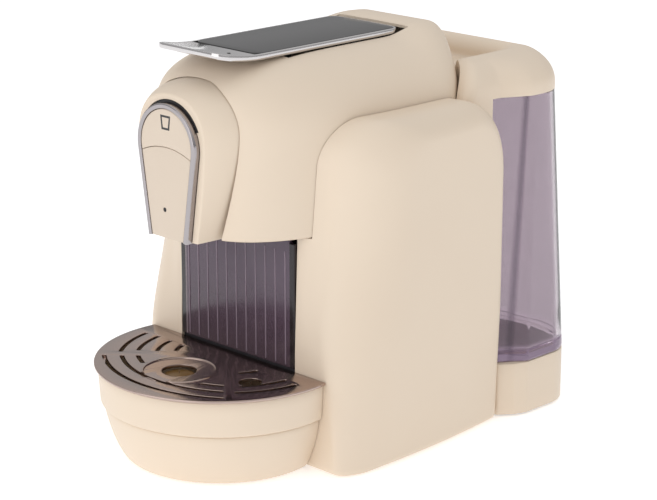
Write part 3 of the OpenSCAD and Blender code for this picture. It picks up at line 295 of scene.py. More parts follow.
def boardGreen(name):
    # circuit board: copper runs under the lacquer
    paint = Paint(name, IOR=1.5)
    flat = paint.place((1, 1, 1), (math.pi / 2, 0, 0))
    runs = paint.put("ShaderNodeTexBrick", {"offset": 0.5},
                     {"Vector": flat, "Scale": 160.0, "Mortar Size": 0.018, "Color1": tone(22, 84, 52),
                      "Color2": tone(26, 96, 58), "Mortar": tone(74, 150, 92)})
    return paint.wear(Base_Color=runs, Roughness=0.3 + 0.15 * paint.noise(300, 2),
                      Normal=paint.grain(paint.noise(500, 2), 0.05, 0.0001))


def gloss(name, base):
    paint = Paint(name, IOR=1.52, Coat_Roughness=0.04)
    fleck = paint.noise(2200, 1)
    drift = paint.noise(12, 2, 0.5, 0, (1, 0.4, 1))
    return paint.wear(Base_Color=paint.mix(drift * 0.6 + fleck * 0.2, base, shaded(base, 1.18)),
                      Roughness=0.3 + 0.06 * fleck, Coat_Weight=0.15 + 0.15 * drift,
                      Normal=paint.grain(fleck, 0.02, 0.00005))


finish = {
    "cream": satinShell("creamShell", tone(231, 215, 195), tone(226, 208, 187)),
    # the second tone is the painted shade at the panel's foot
    "smoke": smokedPanel("smokedPanel", tone(112, 92, 112), tone(92, 72, 86)),
    "tank_smoke": smokedTank("smokedTank", tone(199, 189, 196), tone(120, 106, 122)),
    "chrome": platedMetal("polishedChrome", (0.64, 0.62, 0.62, 1.0)),
    "dark_gloss": gloss("darkGloss", tone(33, 31, 32)),
    "black": moulded("blackPlastic", tone(34, 33, 35), 0.42),
    "steel": platedMetal("turnedSteel", (0.62, 0.61, 0.60, 1.0), 0.2, (1, 1, 8), 0.12),
    "rubber": moulded("darkRubber", tone(46, 45, 47), 0.68, 800, 0.25),
    "silicone": moulded("siliconeHose", tone(214, 214, 208), 0.34, 500, 0.06),
    "grey": moulded("greyNylon", tone(122, 124, 128), 0.46),
    "white": moulded("whiteNylon", tone(226, 222, 214), 0.45),
    "amber": moulded("amberFloat", tone(124, 90, 36), 0.3, 600, 0.08),
    "cast": castMetal("castAlloy", (0.50, 0.50, 0.51, 1.0)),
    "board": boardGreen("circuitBoard"),
}
look = {
    # painted reflection: the grid's plating is tinted a darker warm brown to stand in for what it reflects
    "grid": platedMetal("gridPaintedReflection", (0.47, 0.37, 0.33, 1.0), 0.2),
    # painted shade: a darker copy of the cream shell, worn by the badge and its button
    "badge": satinShell("badgeShadedCream", tone(216, 201, 184), tone(211, 195, 177)),
    "arch": platedMetal("dimChrome", (0.40, 0.375, 0.385, 1.0), 0.1),
    # painted highlight: the ribs are paler than the panel to stand in for the light they catch
    "ribHighlight": moulded("ribPaintedHighlight", tone(136, 120, 133), 0.3, 900, 0.05),
    # painted shadow: the bay shelf is dark to stand in for the shade in the gap behind the grid
    "shelfShadow": moulded("shelfPaintedShadow", tone(70, 66, 70), 0.6),
    "icon": gloss("iconInk", tone(26, 25, 27)),
}
print("finishes:", len(finish) + len(look))


# shaping tools
def tidy(obj, close=0.004):
    # merges doubles, then turns every face outwards
    bm = bmesh.new()
    bm.from_mesh(obj.data)
    bmesh.ops.remove_doubles(bm, verts=bm.verts, dist=close / 1000)
    bmesh.ops.dissolve_degenerate(bm, edges=bm.edges, dist=close / 1000)
    bmesh.ops.recalc_face_normals(bm, faces=bm.faces)
    bm.to_mesh(obj.data)
    bm.free()


def solid(name, points, faces):
    placed = (np.asarray(points, float) + (0, splashY, 0)) * 0.001
    mesh = bpy.data.meshes.new(name)
    mesh.from_pydata(placed.tolist(), [], [list(f) for f in faces])
    mesh.update()
    obj = added(name, mesh)
    tidy(obj)
    return obj


def loft(rings, ends="capped"):
    # skins closed rings of equal count, in order: the ends are capped, open or joined to each other
    n, m = len(rings[0]), len(rings)
    points = np.concatenate([np.asarray(r, float) for r in rings])
    faces = [(k * n + i, k * n + (i + 1) % n, (k + 1) % m * n + (i + 1) % n, (k + 1) % m * n + i)
             for k in range(m if ends == "joined" else m - 1) for i in range(n)]
    if ends == "capped":
        faces += [tuple(range(n)), tuple(reversed(range((m - 1) * n, m * n)))]
    return points, faces


def settle(obj):
    # keeps what the modifiers make as a plain mesh
    ready = obj.evaluated_get(bpy.context.evaluated_depsgraph_get())
    mesh = bpy.data.meshes.new_from_object(ready)
    obj.modifiers.clear()
    obj.data = mesh


def carve(obj, cutters, how="DIFFERENCE"):
    # cuts, joins or crops with exact booleans
    for cutter in cutters:
        step = obj.modifiers.new("carve", "BOOLEAN")
        step.operation, step.solver, step.object = how, "EXACT", cutter
    settle(obj)
    for cutter in cutters:
        bpy.data.objects.remove(cutter)
    return obj


def rounded(obj, width, steps=2, angle=40, clamp=False):
    # breaks the sharp edges
    edge = obj.modifiers.new("edges", "BEVEL")
    edge.width, edge.segments, edge.limit_method = width / 1000, steps, "ANGLE"
    edge.angle_limit, edge.use_clamp_overlap, edge.harden_normals = math.radians(angle), clamp, False
    settle(obj)
    return obj


def dress(obj, slot, node=None, rides=None, smooth=34, wears=None):
    # gives a finished piece its shading, finish and place on the body of a node
    mesh = obj.data
    mesh.polygons.foreach_set("use_smooth", [True] * len(mesh.polygons))
    mesh.set_sharp_from_angle(angle=math.radians(smooth))
    mesh.materials.clear()
    mesh.materials.append(look[wears] if wears else finish[slot])
    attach(obj, bodyOf[node or rides])
    if node:
        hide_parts(node)


def prism(name, outline, low, high, axis=1):
    # carries an outline along an axis: (y, z) along 0, (x, z) along 1, (x, y) along 2
    return solid(name, *loft([[(*p[:axis], level, *p[axis:]) for p in outline] for level in (low, high)]))


def box(name, low, high):
    (x0, y0, z0), (x1, y1, z1) = low, high
    return prism(name, [(x0, y0), (x1, y0), (x1, y1), (x0, y1)], z0, z1, 2)


def lathe(name, profile, centre, steps=128):
    # turns a closed profile of (radius, z) about an upright axis
    cx, cy = centre
    rings = [[(cx + r * math.cos(a), cy + r * math.sin(a), z) for r, z in profile]
             for a in (2 * math.pi * i / steps for i in range(steps))]
    return solid(name, *loft(rings, "joined"))


def rod(name, r, low, high, centre, steps):
    return lathe(name, [(0.01, low), (r, low), (r, high), (0.01, high)], centre, steps)


def joinInto(main, others):
    bm = bmesh.new()
    for part in [main] + others:
        bm.from_mesh(part.data)
    bm.to_mesh(main.data)
    bm.free()
    for part in others:
        bpy.data.objects.remove(part)


def softened(node, slot, width):
    # a CAD node's own shape with its edges broken
    obj = added(node + "_finished", cad[node].data.copy())
    bm = bmesh.new()
    bm.from_mesh(obj.data)
    bmesh.ops.remove_doubles(bm, verts=bm.verts, dist=0.000004)
    bmesh.ops.dissolve_limit(bm, angle_limit=math.radians(0.6), verts=bm.verts, edges=bm.edges)
    bm.to_mesh(obj.data)
    bm.free()
    dress(rounded(obj, width, 2, 36, True), slot, node)


def bothSides(right):
    # the whole outline from its right half, front to back
    return list(right) + [(-x, y) for x, y in reversed(right) if x > 0.01]


def arc(cx, cy, r, start, stop, steps):
    return [(cx + r * math.cos(math.radians(start + (stop - start) * i / steps)),
             cy + r * math.sin(math.radians(start + (stop - start) * i / steps))) for i in range(steps + 1)]


def between(a, b, steps):
    # the points on a line, without its ends
    return [tuple(p + (q - p) * i / steps for p, q in zip(a, b)) for i in range(1, steps)]


def ease(t):
    t = min(1.0, max(0.0, t))
    return t * t * (3 - 2 * t)


def dome(t, power):
    return max(0.0, 1 - min(t, 1.0) ** power) ** (1 / power)


# head: a dome over upright walls, with the nose's opening and the lever's
head = {"foot": 143, "deck": 246, "halfWidth": 68, "nose": 38, "back": 147, "corner": 39, "wall": 2.4,
        "domeFrom": 203, "domeMid": 60, "flat": 24, "domePower": (2.2, 3.4, 16), "rimRound": 1.3,
        "pull": ((14, -38), (43, -37.5), (66, -7), (68, 70)), "leverCut": (30.0, 16, 118.6, 1.2),
        "crown": 5.2, "crownRun": (98, 130)}
# the nose's lines: half width, rise, centre, half width at the foot and how far they go below that
noseShape = {"square": (0.82, 0.86), "legBend": 1.55, "cut": (37.0, 29.4, 205, 23.2, 12),
             "base": (36.6, 29.0, 205, 23.0, 0), "mouth": (28.6, 28.6, 199.5, 21.6, 0)}


def headPlan():
    h, front, steps = head, [], 48
    for t in [i / steps for i in range(steps + 1)]:
        w = ((1 - t) ** 3, 3 * t * (1 - t) ** 2, 3 * t * t * (1 - t), t ** 3)
        front.append(tuple(sum(k * p[axis] for k, p in zip(w, h["pull"])) for axis in (0, 1)))
    half, r, back, tip = h["halfWidth"], h["corner"], h["back"], (0, -h["nose"])
    right = [tip] + between(tip, front[0], 8) + front + between(front[-1], (half, back - r), 8)
    right += arc(half - r, back - r, r, 0, 90, 28) + between((half - r, back), (0, back), 12)
    return bothSides(right + [(0, back)])


def headRing(z, inset, plan):
    h = head
    flat, mid, start, (runFrom, runTo) = h["flat"], h["domeMid"], h["domeFrom"], h["crownRun"]
    t = 0 if z <= start else min(0.9999, (z - start) / (h["deck"] - inset - start))
    side, front, rear = (dome(t, power) for power in h["domePower"])
    side *= (h["halfWidth"] - inset - flat) / (h["halfWidth"] - flat)
    front *= (mid + h["nose"] - inset) / (mid + h["nose"])
    rear *= (h["back"] - mid - inset) / (h["back"] - mid)
    ring = []
    for x, y in plan:
        wide = x if abs(x) < flat else math.copysign(flat + (abs(x) - flat) * side, x)
        long = mid + (y - mid) * (front if y < mid else rear)
        ring.append((wide, long, z + h["crown"] * t * t * ease((long - runFrom) / (runTo - runFrom))))
    return ring


def tear(r, lean, centre, drop, steps=64):
    # the teardrop as (x, z), anticlockwise from its left foot
    foot = head["foot"] - centre + drop
    tilt = math.radians(lean)
    half = r * math.cos(tilt) + (foot + r * math.sin(tilt)) * math.tan(tilt)
    top = arc(0, centre, r, -lean, 180 + lean, steps)
    left, right = (-half, centre + foot), (half, centre + foot)
    return [left, right] + between(right, top[0], 10) + top + between(top[-1], left, 10)


def noseLine(half, rise, centre, foot, drop):
    # the nose's outline as (x, z): a full, squarish arch on legs that lean in towards the foot
    (wide, high), bend = noseShape["square"], noseShape["legBend"]
    top, legs = [], []
    for a in [math.pi * i / 64 for i in range(65)]:
        c = math.cos(a)
        top.append((math.copysign(half * abs(c) ** wide, c), centre + rise * math.sin(a) ** high))
    for t in [i / 12 for i in range(1, 13)]:
        legs.append((half - (half - foot) * t ** bend, centre - (centre - head["foot"] + drop) * t))
    left = [(-x, z) for x, z in legs]
    return [left[-1]] + list(reversed(legs)) + top + left[:-1]


def makeHead():
    h, plan = head, headPlan()
    foot, start, wall, lip = h["foot"], h["domeFrom"], h["wall"], h["rimRound"]
    steps = [math.sin(math.radians(a)) ** (2 / h["domePower"][0]) for a in np.linspace(0, 88.6, 34)]
    outer = [headRing(start + t * (h["deck"] - start), 0, plan) for t in reversed(steps)]
    outer += [headRing(z, 0, plan) for z in np.linspace(start - 5, foot + lip, 9)]
    rim = [[(x, y, foot + lip * (1 - math.sin(a)))
            for x, y, _ in headRing(foot, lip * (1 - math.cos(a)), plan)]
           for a in np.linspace(0.3, math.pi / 2, 5)]
    inner = [headRing(z, wall, plan) for z in np.linspace(foot, start - 6, 5)]
    inner += [headRing(start + t * (h["deck"] - wall - start), wall, plan) for t in steps[::2]]
    shell = solid("headShell", *loft(outer + rim + inner))
    half, y0, y1, r = h["leverCut"]
    well = bothSides([(0, y0), (half, y0)] + arc(half - r, y1 - r, r, 0, 90, 6) + [(0, y1)])
    carve(shell, [prism("cutNose", noseLine(*noseShape["cut"]), -8, -70),
                  prism("cutLever", well, h["deck"] - 30, h["deck"] + 10, 2)])
    tidy(shell, 0.03)
    dress(shell, "cream", "head_shell", smooth=38)


makeHead()
print("head shell done")


# nose: a teardrop sleeve that draws in towards the arch, and a black band in the gap around that as painted
# shadow
cowl = {"back": 20, "reach": 50, "recess": 46.4, "hollow": 44.5, "flareFrom": 0.25, "roll": 0.9,
        "rollFrom": 0.97, "wall": 2.4, "badge": 198.5, "arch": 25, "archLean": 8.6, "archBack": 46.7,
        "archFace": 54.3, "archWide": 3.0, "archEdge": (0.9, 0.6), "gap": (24, 156), "gapOut": 1.9,
        "shadowBand": (-0.2, 1.75, 0.6, 3.0)}


def cowlRing(inset, front, s):
    c = cowl
    k = max(0.0, (s - c["flareFrom"]) / (1 - c["flareFrom"])) ** 2
    y = -c["back"] - (front - c["back"]) * s
    wide, narrow = (noseLine(half - inset, rise - inset, centre, foot - inset, drop)
                    for half, rise, centre, foot, drop in (noseShape["base"], noseShape["mouth"]))
    return [(a + (b - a) * k, y, max(p + (q - p) * k, head["foot"])) for (a, p), (b, q) in zip(wide, narrow)]


def makeCowl():
    c = cowl
    rings = [cowlRing(0, c["reach"], s) for s in np.linspace(0, c["rollFrom"], 22)]
    rings += [cowlRing(c["roll"] * (1 - math.cos(a)), c["reach"], c["rollFrom"] + 0.03 * math.sin(a))
              for a in np.linspace(0.25, math.pi / 2, 5)]
    sleeve = solid("noseCowl", *loft(rings))
    hollow = [[(x, y + 0.5, z - c["wall"]) for x, y, z in cowlRing(c["wall"], c["hollow"], s)]
              for s in np.linspace(-0.05, 1, 14)]
    recess = tear(c["arch"] + 0.4, c["archLean"], c["badge"], -3)
    gap = arc(0, c["badge"], c["arch"] + c["gapOut"], *c["gap"], 60)
    carve(sleeve, [solid("cutHollow", *loft(hollow)), prism("cutRecess", recess, -c["recess"], -60),
                   prism("cutGap", gap, -c["recess"], -60)])
    tidy(sleeve, 0.02)
    dress(sleeve, "cream", "front_cowl", smooth=36)


def makeArch():
    # carries the band's section, as (inwards, forwards), along the teardrop's line
    c = cowl
    wide, deep, back, (r, s) = c["archWide"], c["archFace"], c["archBack"], c["archEdge"]
    section = [(0, back), (0, deep - r)] + [(r - x, deep - r + y) for x, y in arc(0, 0, r, 0, 90, 6)[1:]]
    section += [(wide / 2, deep)]
    section += [(wide - s + x, deep - s + y) for x, y in reversed(arc(0, 0, s, 0, 90, 5))] + [(wide, back)]
    points = tear(c["arch"], c["archLean"], c["badge"], -0.6, 72)
    line, rings = [Vector(p) for p in points[1:] + points[:1]], []
    for i, at in enumerate(line):
        ahead = line[min(i + 1, len(line) - 1)] - line[max(i - 1, 0)]
        side = Vector((-ahead.y, ahead.x)).normalized()
        rings.append([(at.x + side.x * u, -v, at.y + side.y * u) for u, v in section])
    dress(solid("chromeArch", *loft(rings)), "chrome", "chrome_arch", smooth=50, wears="arch")


# painted shadow: a black band set in the gap round the top of the arch
def makeGapShadow():
    c = cowl
    (start, stop), (inner, outer, back, front) = c["gap"], c["shadowBand"]
    outline = arc(0, c["badge"], c["arch"] + outer, start, stop, 72)
    outline += arc(0, c["badge"], c["arch"] + inner, stop, start, 72)
    ring = prism("archGasket", outline, -(c["recess"] - back), -(c["recess"] + front))
    dress(rounded(ring, 0.25), "black", rides="front_cowl", smooth=40)


badge = {"r": 21.7, "lean": 8.6, "centre": 198.5, "arcR": 51.7, "arcTop": 197.6, "gap": 0.3, "face": 53.8,
         "back": 46.7, "buttonBack": 48.2, "edges": (0.35, 0.4, 0.08), "lamp": (-2, 160, 1.4),
         "iconDeep": 0.4,
         "icon": [(-4.4, 216.6), (-3.4, 208.0), (3.4, 208.0), (4.4, 216.6)],
         "heart": [(-2.95, 215.3), (-2.25, 209.3), (2.25, 209.3), (2.95, 215.3)],
         "stem": (3, 21, -28, 202.5)}


def inward(outline, by):
    # moves an anticlockwise outline inwards
    moved, n = [], len(outline)
    for i, (x, z) in enumerate(outline):
        (ax, az), (bx, bz) = outline[i - 1], outline[(i + 1) % n]
        first, second = Vector((x - ax, z - az)), Vector((bx - x, bz - z))
        side = Vector((0, 0))
        for edge in (first, second):
            if edge.length > 1e-6:
                side += Vector((-edge.y, edge.x)).normalized()
        side.normalize()
        lean = max(0.45, side.dot(Vector((-second.y, second.x)).normalized())) if second.length > 1e-6 else 1
        moved.append((x + side.x * by / lean, z + side.y * by / lean))
    return moved


def slab(name, outline, back, face, edge):
    # a plate with its front edge rolled over, standing at y = -face
    rings = [[(x, -back, z) for x, z in outline], [(x, -(face - edge), z) for x, z in outline]]
    for a in np.linspace(0.35, math.pi / 2, 4):
        rolled = inward(outline, edge * (1 - math.cos(a)))
        rings.append([(x, -(face - edge + edge * math.sin(a)), z) for x, z in rolled])
    return solid(name, *loft(rings))


def badgeOutline(above):
    # the badge is cut along an arc: the button above it, the plate below
    b = badge
    edge = tear(b["r"], b["lean"], b["centre"], 0, 96)
    r = b["arcR"] + (b["gap"] / 2 if above else -b["gap"] / 2)
    mid = b["arcTop"] - b["arcR"]

    def over(p):
        return math.hypot(p[0], p[1] - mid) > r

    right = [p for p in edge if p[0] >= 0]
    crossing = next(i for i, p in enumerate(right) if over(p))
    a, c = right[crossing - 1], right[crossing]
    for _ in range(30):
        m = ((a[0] + c[0]) / 2, (a[1] + c[1]) / 2)
        a, c = (a, m) if over(m) else (m, c)
    swing = math.degrees(math.atan2(a[1] - mid, a[0]))
    if above:
        top = [p for p in edge if over(p)]
        return [a] + top + [(-a[0], a[1])] + arc(0, mid, r, 180 - swing, swing, 40)[1:-1]
    sides = [p for p in edge[2:] if not over(p)]
    cut = arc(0, mid, r, swing, 180 - swing, 40)
    return edge[:2] + [p for p in sides if p[0] > 0] + cut + [p for p in sides if p[0] < 0]


def laidForward(at):
    # points a piece made upright about x = y = 0 to the front, from a place in mm
    home = Matrix.Translation((0, -splashY / 1000, 0))
    move = Matrix.Translation((at[0] / 1000, (at[1] + splashY) / 1000, at[2] / 1000))
    return move @ Matrix.Rotation(math.radians(90), 4, "X") @ home


def makeBadge():
    b = badge
    plateEdge, capEdge, heartEdge = b["edges"]
    plate = slab("badgePlate", badgeOutline(False), b["back"], b["face"], plateEdge)
    x, z, r = b["lamp"]
    carve(plate, [prism("cutLamp", arc(x, z, r, 0, 345, 23), -40, -60)])
    # the badge plate and the button wear the cream darkened as painted shade
    dress(plate, "cream", "badge_panel", smooth=30, wears="badge")
    cap = slab("buttonCap", badgeOutline(True), b["buttonBack"], b["face"], capEdge)
    carve(cap, [prism("cutIcon", b["icon"], -b["face"] + b["iconDeep"], -60)])
    island = slab("buttonHeart", b["heart"], b["face"] - 1, b["face"], heartEdge)
    r, long, y, z = b["stem"]
    stem = rod("buttonStem", r, 0, long, (0, 0), 40)
    stem.data.transform(laidForward((0, y, z)))
    joinInto(cap, [island, stem])
    dress(cap, "cream", "brew_button", smooth=30, wears="badge")


makeCowl()
makeArch()
makeGapShadow()
makeBadge()
print("nose done")


# side covers: a slab that rounds into its front, brow, rear and edges
cover = {"foot": 1.5, "half": 97, "top": 211.5, "back": 145.7, "inner": 50.8, "wall": 2.4, "footR": 4,
         "browR": 28, "browSet": 5, "rearR": 40, "edges": ((18, 0.9), (7, 1), (4, 1)), "frontR": (12.5, 40),
         "frontDeep": (44, 48), "frontRise": (2, 150), "frontLine": ((2.5, 143, 9), (0, 70, 12)),
         "lean": 7, "leanIn": 17, "leanUp": (60, 90), "taper": 8, "taperFrom": 40, "draft": 2.5,
         "draftTo": 90}


def coverOutline(inset):
    # the cover from its side, as (y, z), from the front foot by the rear
    c, r = cover, cover["footR"]
    foot, top, back, rear, brow = c["foot"], c["top"], c["back"], c["rearR"], c["browR"]
    line = arc(r, foot + r, r - inset / 2, 180, 270, 12)
    line += between(line[-1], (back - r, line[-1][1]), 24)
    line += arc(back - r, foot + r, r - inset / 2, 270, 360, 12)
    line += between(line[-1], (back - inset, top - rear), 24)
    line += arc(back - rear, top - rear, rear - inset, 0, 90, 36)
    line += between(line[-1], (brow + c["browSet"], top - inset), 12)
    line += arc(brow + c["browSet"], top - brow, brow - inset, 90, 174, 27)
    for y, z, steps in c["frontLine"]:
        line += between(line[-1], (inset + y, z), steps) + [(inset + y, z)]
    return line + between(line[-1], line[0], 12)


def roundIn(x, edge, r):
    return 0.0 if x < edge - r else r - math.sqrt(max(0.0, r * r - (x - edge + r) ** 2))


def coverRing(x, inset, outline, shrink=1.0):
    c = cover
    foot, top, back, (riseFrom, rise), (leanFrom, leanRun) = (
        c["foot"], c["top"], c["back"], c["frontRise"], c["leanUp"])
    edge = c["half"] - inset
    topIn, backIn, footIn = (roundIn(x, edge, r) * share for r, share in c["edges"])
    y1, z0, z1 = back - inset - backIn, foot + inset + footIn, top - inset - topIn
    midY, midZ, ring = (c["frontR"][1] + y1) / 2, (z0 + z1) / 2, []
    out = (x - c["inner"]) / (c["half"] - c["inner"])
    lean = c["lean"] * ease((x - c["inner"]) / c["leanIn"])
    for py, pz in outline:
        # the front corner is tight at the foot and full beside the head, where the front leans back too
        up = ease((pz - riseFrom) / rise)
        r, deep = (a + (b - a) * up for a, b in (c["frontR"], c["frontDeep"]))
        y0 = inset + roundIn(x, edge, r) * deep / r * 0.95 + lean * ease((pz - leanFrom) / leanRun)
        y = y0 + (py - inset) / (back - 2 * inset) * (y1 - y0)
        z = z0 + (pz - foot - inset) / (top - foot - 2 * inset) * (z1 - z0)
        y, z = midY + (y - midY) * shrink, midZ + (z - midZ) * shrink
        k = max(0.0, (y - c["taperFrom"]) / (back - c["taperFrom"]))
        ring.append((x - (c["taper"] * k * k + c["draft"] * (1 - ease(z / c["draftTo"]))) * out, y, z))
    return ring


def coverRings(inset, steps):
    c, outline = cover, coverOutline(inset)
    edge, widest = c["half"] - inset, c["frontDeep"][0]
    swell = [edge - widest + widest * math.sin(math.radians(a)) for a in np.linspace(0, 90, steps)]
    levels = [c["inner"]] + [x for x in swell if x > c["inner"] + 0.5]
    rings = [coverRing(x, inset, outline) for x in levels]
    return rings + [coverRing(edge, inset, outline, s) for s in (0.97, 0.88, 0.75, 0.6, 0.42, 0.22, 0.03)]


def headWall(name, gap, low, high):
    # an upright block in the head's plan, larger by a gap
    h = head
    mid, side = h["domeMid"], (h["halfWidth"] + gap) / h["halfWidth"]
    front, rear = (mid + h["nose"] + gap) / (mid + h["nose"]), (h["back"] - mid + gap) / (h["back"] - mid)
    line = [(x * side, mid + (y - mid) * (front if y < mid else rear)) for x, y in headPlan()]
    return prism(name, line, low, high, 2)


def makeCover(side):
    outer, inner = coverRings(0, 30), coverRings(cover["wall"], 12)
    shell = solid("sideCover_" + side, *loft(list(reversed(outer)) + inner))
    carve(shell, [headWall("cutHead", 0.4, head["foot"] - 0.4, head["deck"])])
    tidy(shell, 0.02)
    if side == "left":
        for v in shell.data.vertices:
            v.co.x = -v.co.x
        tidy(shell, 0.001)
    dress(shell, "cream", side + "_cover", smooth=36)


makeCover("right")
makeCover("left")
print("side covers done")


# cup bay: bowl, tray, grid
bay = {"mid": -12, "cut": -0.4, "wall": 2.4, "bowlR": 72.3, "bowlFoot": 1.6, "bowlFlat": 60,
       "bowlPower": 1.35, "tabHole": (30, 8, 1.8), "trayFoot": 35.5, "trayTop": 57.5, "bandR": 75.6,
       "gridR": 78, "gridTop": 59.6, "gridT": 1.8, "skirt": (2, 0.6), "cupR": 22, "cupRise": 0.9,
       "cupY": -47, "floatHole": 10.6, "finger": (45, -31, 7), "slotW": 2.8, "wingMid": -5, "arcMid": 10.7,
       "wings": ((68, 188, 221, "both"), (57.7, 188, 218, "both"), (46, 191, 218, "left"),
                 (34.5, 195, 215.5, "both")),
       "arcs": ((89.3, 232.7, 307.3), (78.7, 234.3, 305.7), (69, 235.6, 248.3), (69, 291.7, 304.4))}


def cutBack(y):
    # all that lies behind y
    return box("cutBack", (-150, y, -20), (150, 160, 300))


def makeBowl():
    b = bay
    r, foot, top, w = b["bowlR"], b["bowlFoot"], b["trayFoot"] - 0.3, b["wall"]
    flat, power = b["bowlFlat"], b["bowlPower"]
    side = [(flat + (r - flat) * dome(1 - k, power), foot + (top - 1.2 - foot) * k)
            for k in [1 - math.cos(math.radians(a)) for a in np.linspace(0, 90, 22)]]
    profile = [(0.01, foot)] + [(q, foot) for q in (20, 45)] + side
    profile += [(r - 0.25, top - 0.7), (r - 0.6, top - 0.2), (r - 1.1, top), (r - w, top)]
    profile += [(q - w, z + w * 0.9) for q, z in reversed(side[:-1])] + [(0.01, foot + w)]
    bowl = carve(lathe("trayBowl", profile, (0, b["mid"])), [cutBack(b["cut"])])
    tab = box("bowlTab", (-40, -6, foot), (40, 14, foot + w))
    x, y, hole = b["tabHole"]
    for way in (-1, 1):
        carve(tab, [rod("cutTab", hole, -5, 20, (way * x, y), 24)])
    joinInto(bowl, [tab])
    dress(bowl, "cream", "front_bowl", smooth=40)


def makeTray():
    b = bay
    r, foot, top, w = b["bandR"], b["trayFoot"], b["trayTop"], b["wall"]
    profile = [(0.01, foot), (r - 3, foot)]
    profile += [(r - 2.4 + 1.4 * math.sin(t), foot + 1.4 - 1.4 * math.cos(t))
                for t in np.linspace(0, 1.57, 6)]
    profile += [(r - 0.6, foot + 8), (r - 0.2, foot + 15), (r, top - 0.7), (r - 0.25, top - 0.2),
                (r - 0.8, top), (r - w, top), (r - w - 0.8, foot + w), (0.01, foot + w)]
    tray = carve(lathe("dripTray", profile, (0, b["mid"])), [cutBack(b["cut"])])
    backWall = box("trayBack", (-r + 4, b["cut"] - w, foot + 0.4), (r - 4, b["cut"], top))
    carve(backWall, [rod("cutRound", r - 0.9, 0, 90, (0, b["mid"]), 96)], "INTERSECT")
    low, high = foot + w - 0.4, foot + w + 10
    stud = [(0.01, low), (3, low), (3, high), (2.5, high + 0.5), (0.01, high + 0.5)]
    joinInto(tray, [backWall, lathe("trayPost", stud, (0, b["cupY"]), 32)])
    dress(tray, "cream", "drip_tray", smooth=40)


def slotCutter(r, start, stop, mid):
    # a curved slot with round ends
    half, high = bay["slotW"] / 2, bay["gridTop"]
    turn = math.degrees(half / r)
    line = arc(0, mid, r + half, start + turn, stop - turn, 28)
    for end, way in ((stop - turn, 0), (start + turn, 180)):
        cx, cy = r * math.cos(math.radians(end)), mid + r * math.sin(math.radians(end))
        if way:
            line += arc(0, mid, r - half, stop - turn, start + turn, 28)
        line += arc(cx, cy, half, end + way, end + way + 180, 8)[1:-1]
    return prism("cutSlot", line, high - 4, high + 3, 2)


def makeGrid():
    b = bay
    r, top, t, cr, rise = b["gridR"], b["gridTop"], b["gridT"], b["cupR"], b["cupRise"]
    profile = [(0.01, top - t), (r - 0.5, top - t), (r, top - t + 0.4), (r, top - 0.5),
               (r - 0.15, top - 0.15), (r - 0.5, top), (0.01, top)]
    plate = carve(lathe("dripGrid", profile, (0, b["mid"]), 160), [cutBack(b["cut"])])
    bead = [(cr - 0.8, top - 0.4), (cr + 0.8, top - 0.4), (cr + 0.72, top + 0.45), (cr + 0.4, top + rise),
            (cr - 0.4, top + rise), (cr - 0.72, top + 0.45)]
    carve(plate, [lathe("cupRing", bead, (0, b["cupY"]), 96)], "UNION")
    x, y, fingerR = b["finger"]
    cutters = [rod("cutFloat", b["floatHole"], 40, 80, (0, b["cupY"]), 64),
               rod("cutFinger", fingerR, 40, 80, (x, y), 56)]
    for slotR, start, stop, side in b["wings"]:
        cutters.append(slotCutter(slotR, start, stop, b["wingMid"]))
        if side == "both":
            cutters.append(slotCutter(slotR, 540 - stop, 540 - start, b["wingMid"]))
    cutters += [slotCutter(slotR, start, stop, b["arcMid"]) for slotR, start, stop in b["arcs"]]
    carve(plate, cutters)
    tidy(plate, 0.01)
    rounded(plate, 0.22)
    inner, outer = (b["bandR"] - b["wall"] - inset for inset in b["skirt"])
    low, high = top - t - 2.5, top - t + 0.3
    skirt = lathe("gridSkirt", [(inner, low), (outer, low), (outer, high), (inner, high)], (0, b["mid"]))
    joinInto(plate, [carve(skirt, [cutBack(b["cut"] - b["wall"] - 0.6)])])
    # the grid wears plating tinted with a painted reflection
    dress(plate, "chrome", "drip_grid", smooth=30, wears="grid")


makeBowl()
makeTray()
makeGrid()
print("cup bay done")


# smoked capsule container: the splash panel, the ribs on its face, and the bin behind it
container = {"half": 50.3, "panel": 3.0, "foot": 60.9, "top": 141.5, "notch": 8, "corner": (4, 3),
             "binHalf": 49.5, "depth": 108, "binTop": 136.9, "binWall": 1.6, "pitch": 8.57, "ribs": 11,
             "ribW": 0.9, "ribT": 0.3}


def makeContainer():
    c = container
    half, foot, top = c["half"], c["foot"], c["top"]
    binHalf, binTop, w = c["binHalf"], c["binTop"], c["binWall"]
    (wide, deep), notch = c["corner"], c["notch"]
    face = box("containerShell", (-half, 0, foot), (half, c["panel"], top))
    carve(face, [box("cutNotch", (-notch, -1, binTop), (notch, 9, top + 5)),
                 box("cutCorner", (half - wide, -1, top - deep), (half + 1, 9, top + 3))])
    rounded(face, 0.5, 3)
    body = box("bin", (-binHalf, c["panel"] - 1, foot + 0.02), (binHalf, c["depth"], binTop))
    inside = (w - binHalf, c["panel"], foot + w), (binHalf - w, c["depth"] - w, binTop + 5)
    carve(body, [box("cutBin", *inside)])
    carve(face, [body], "UNION")
    tidy(face, 0.01)
    dress(face, "smoke", "capsule_container", smooth=30)


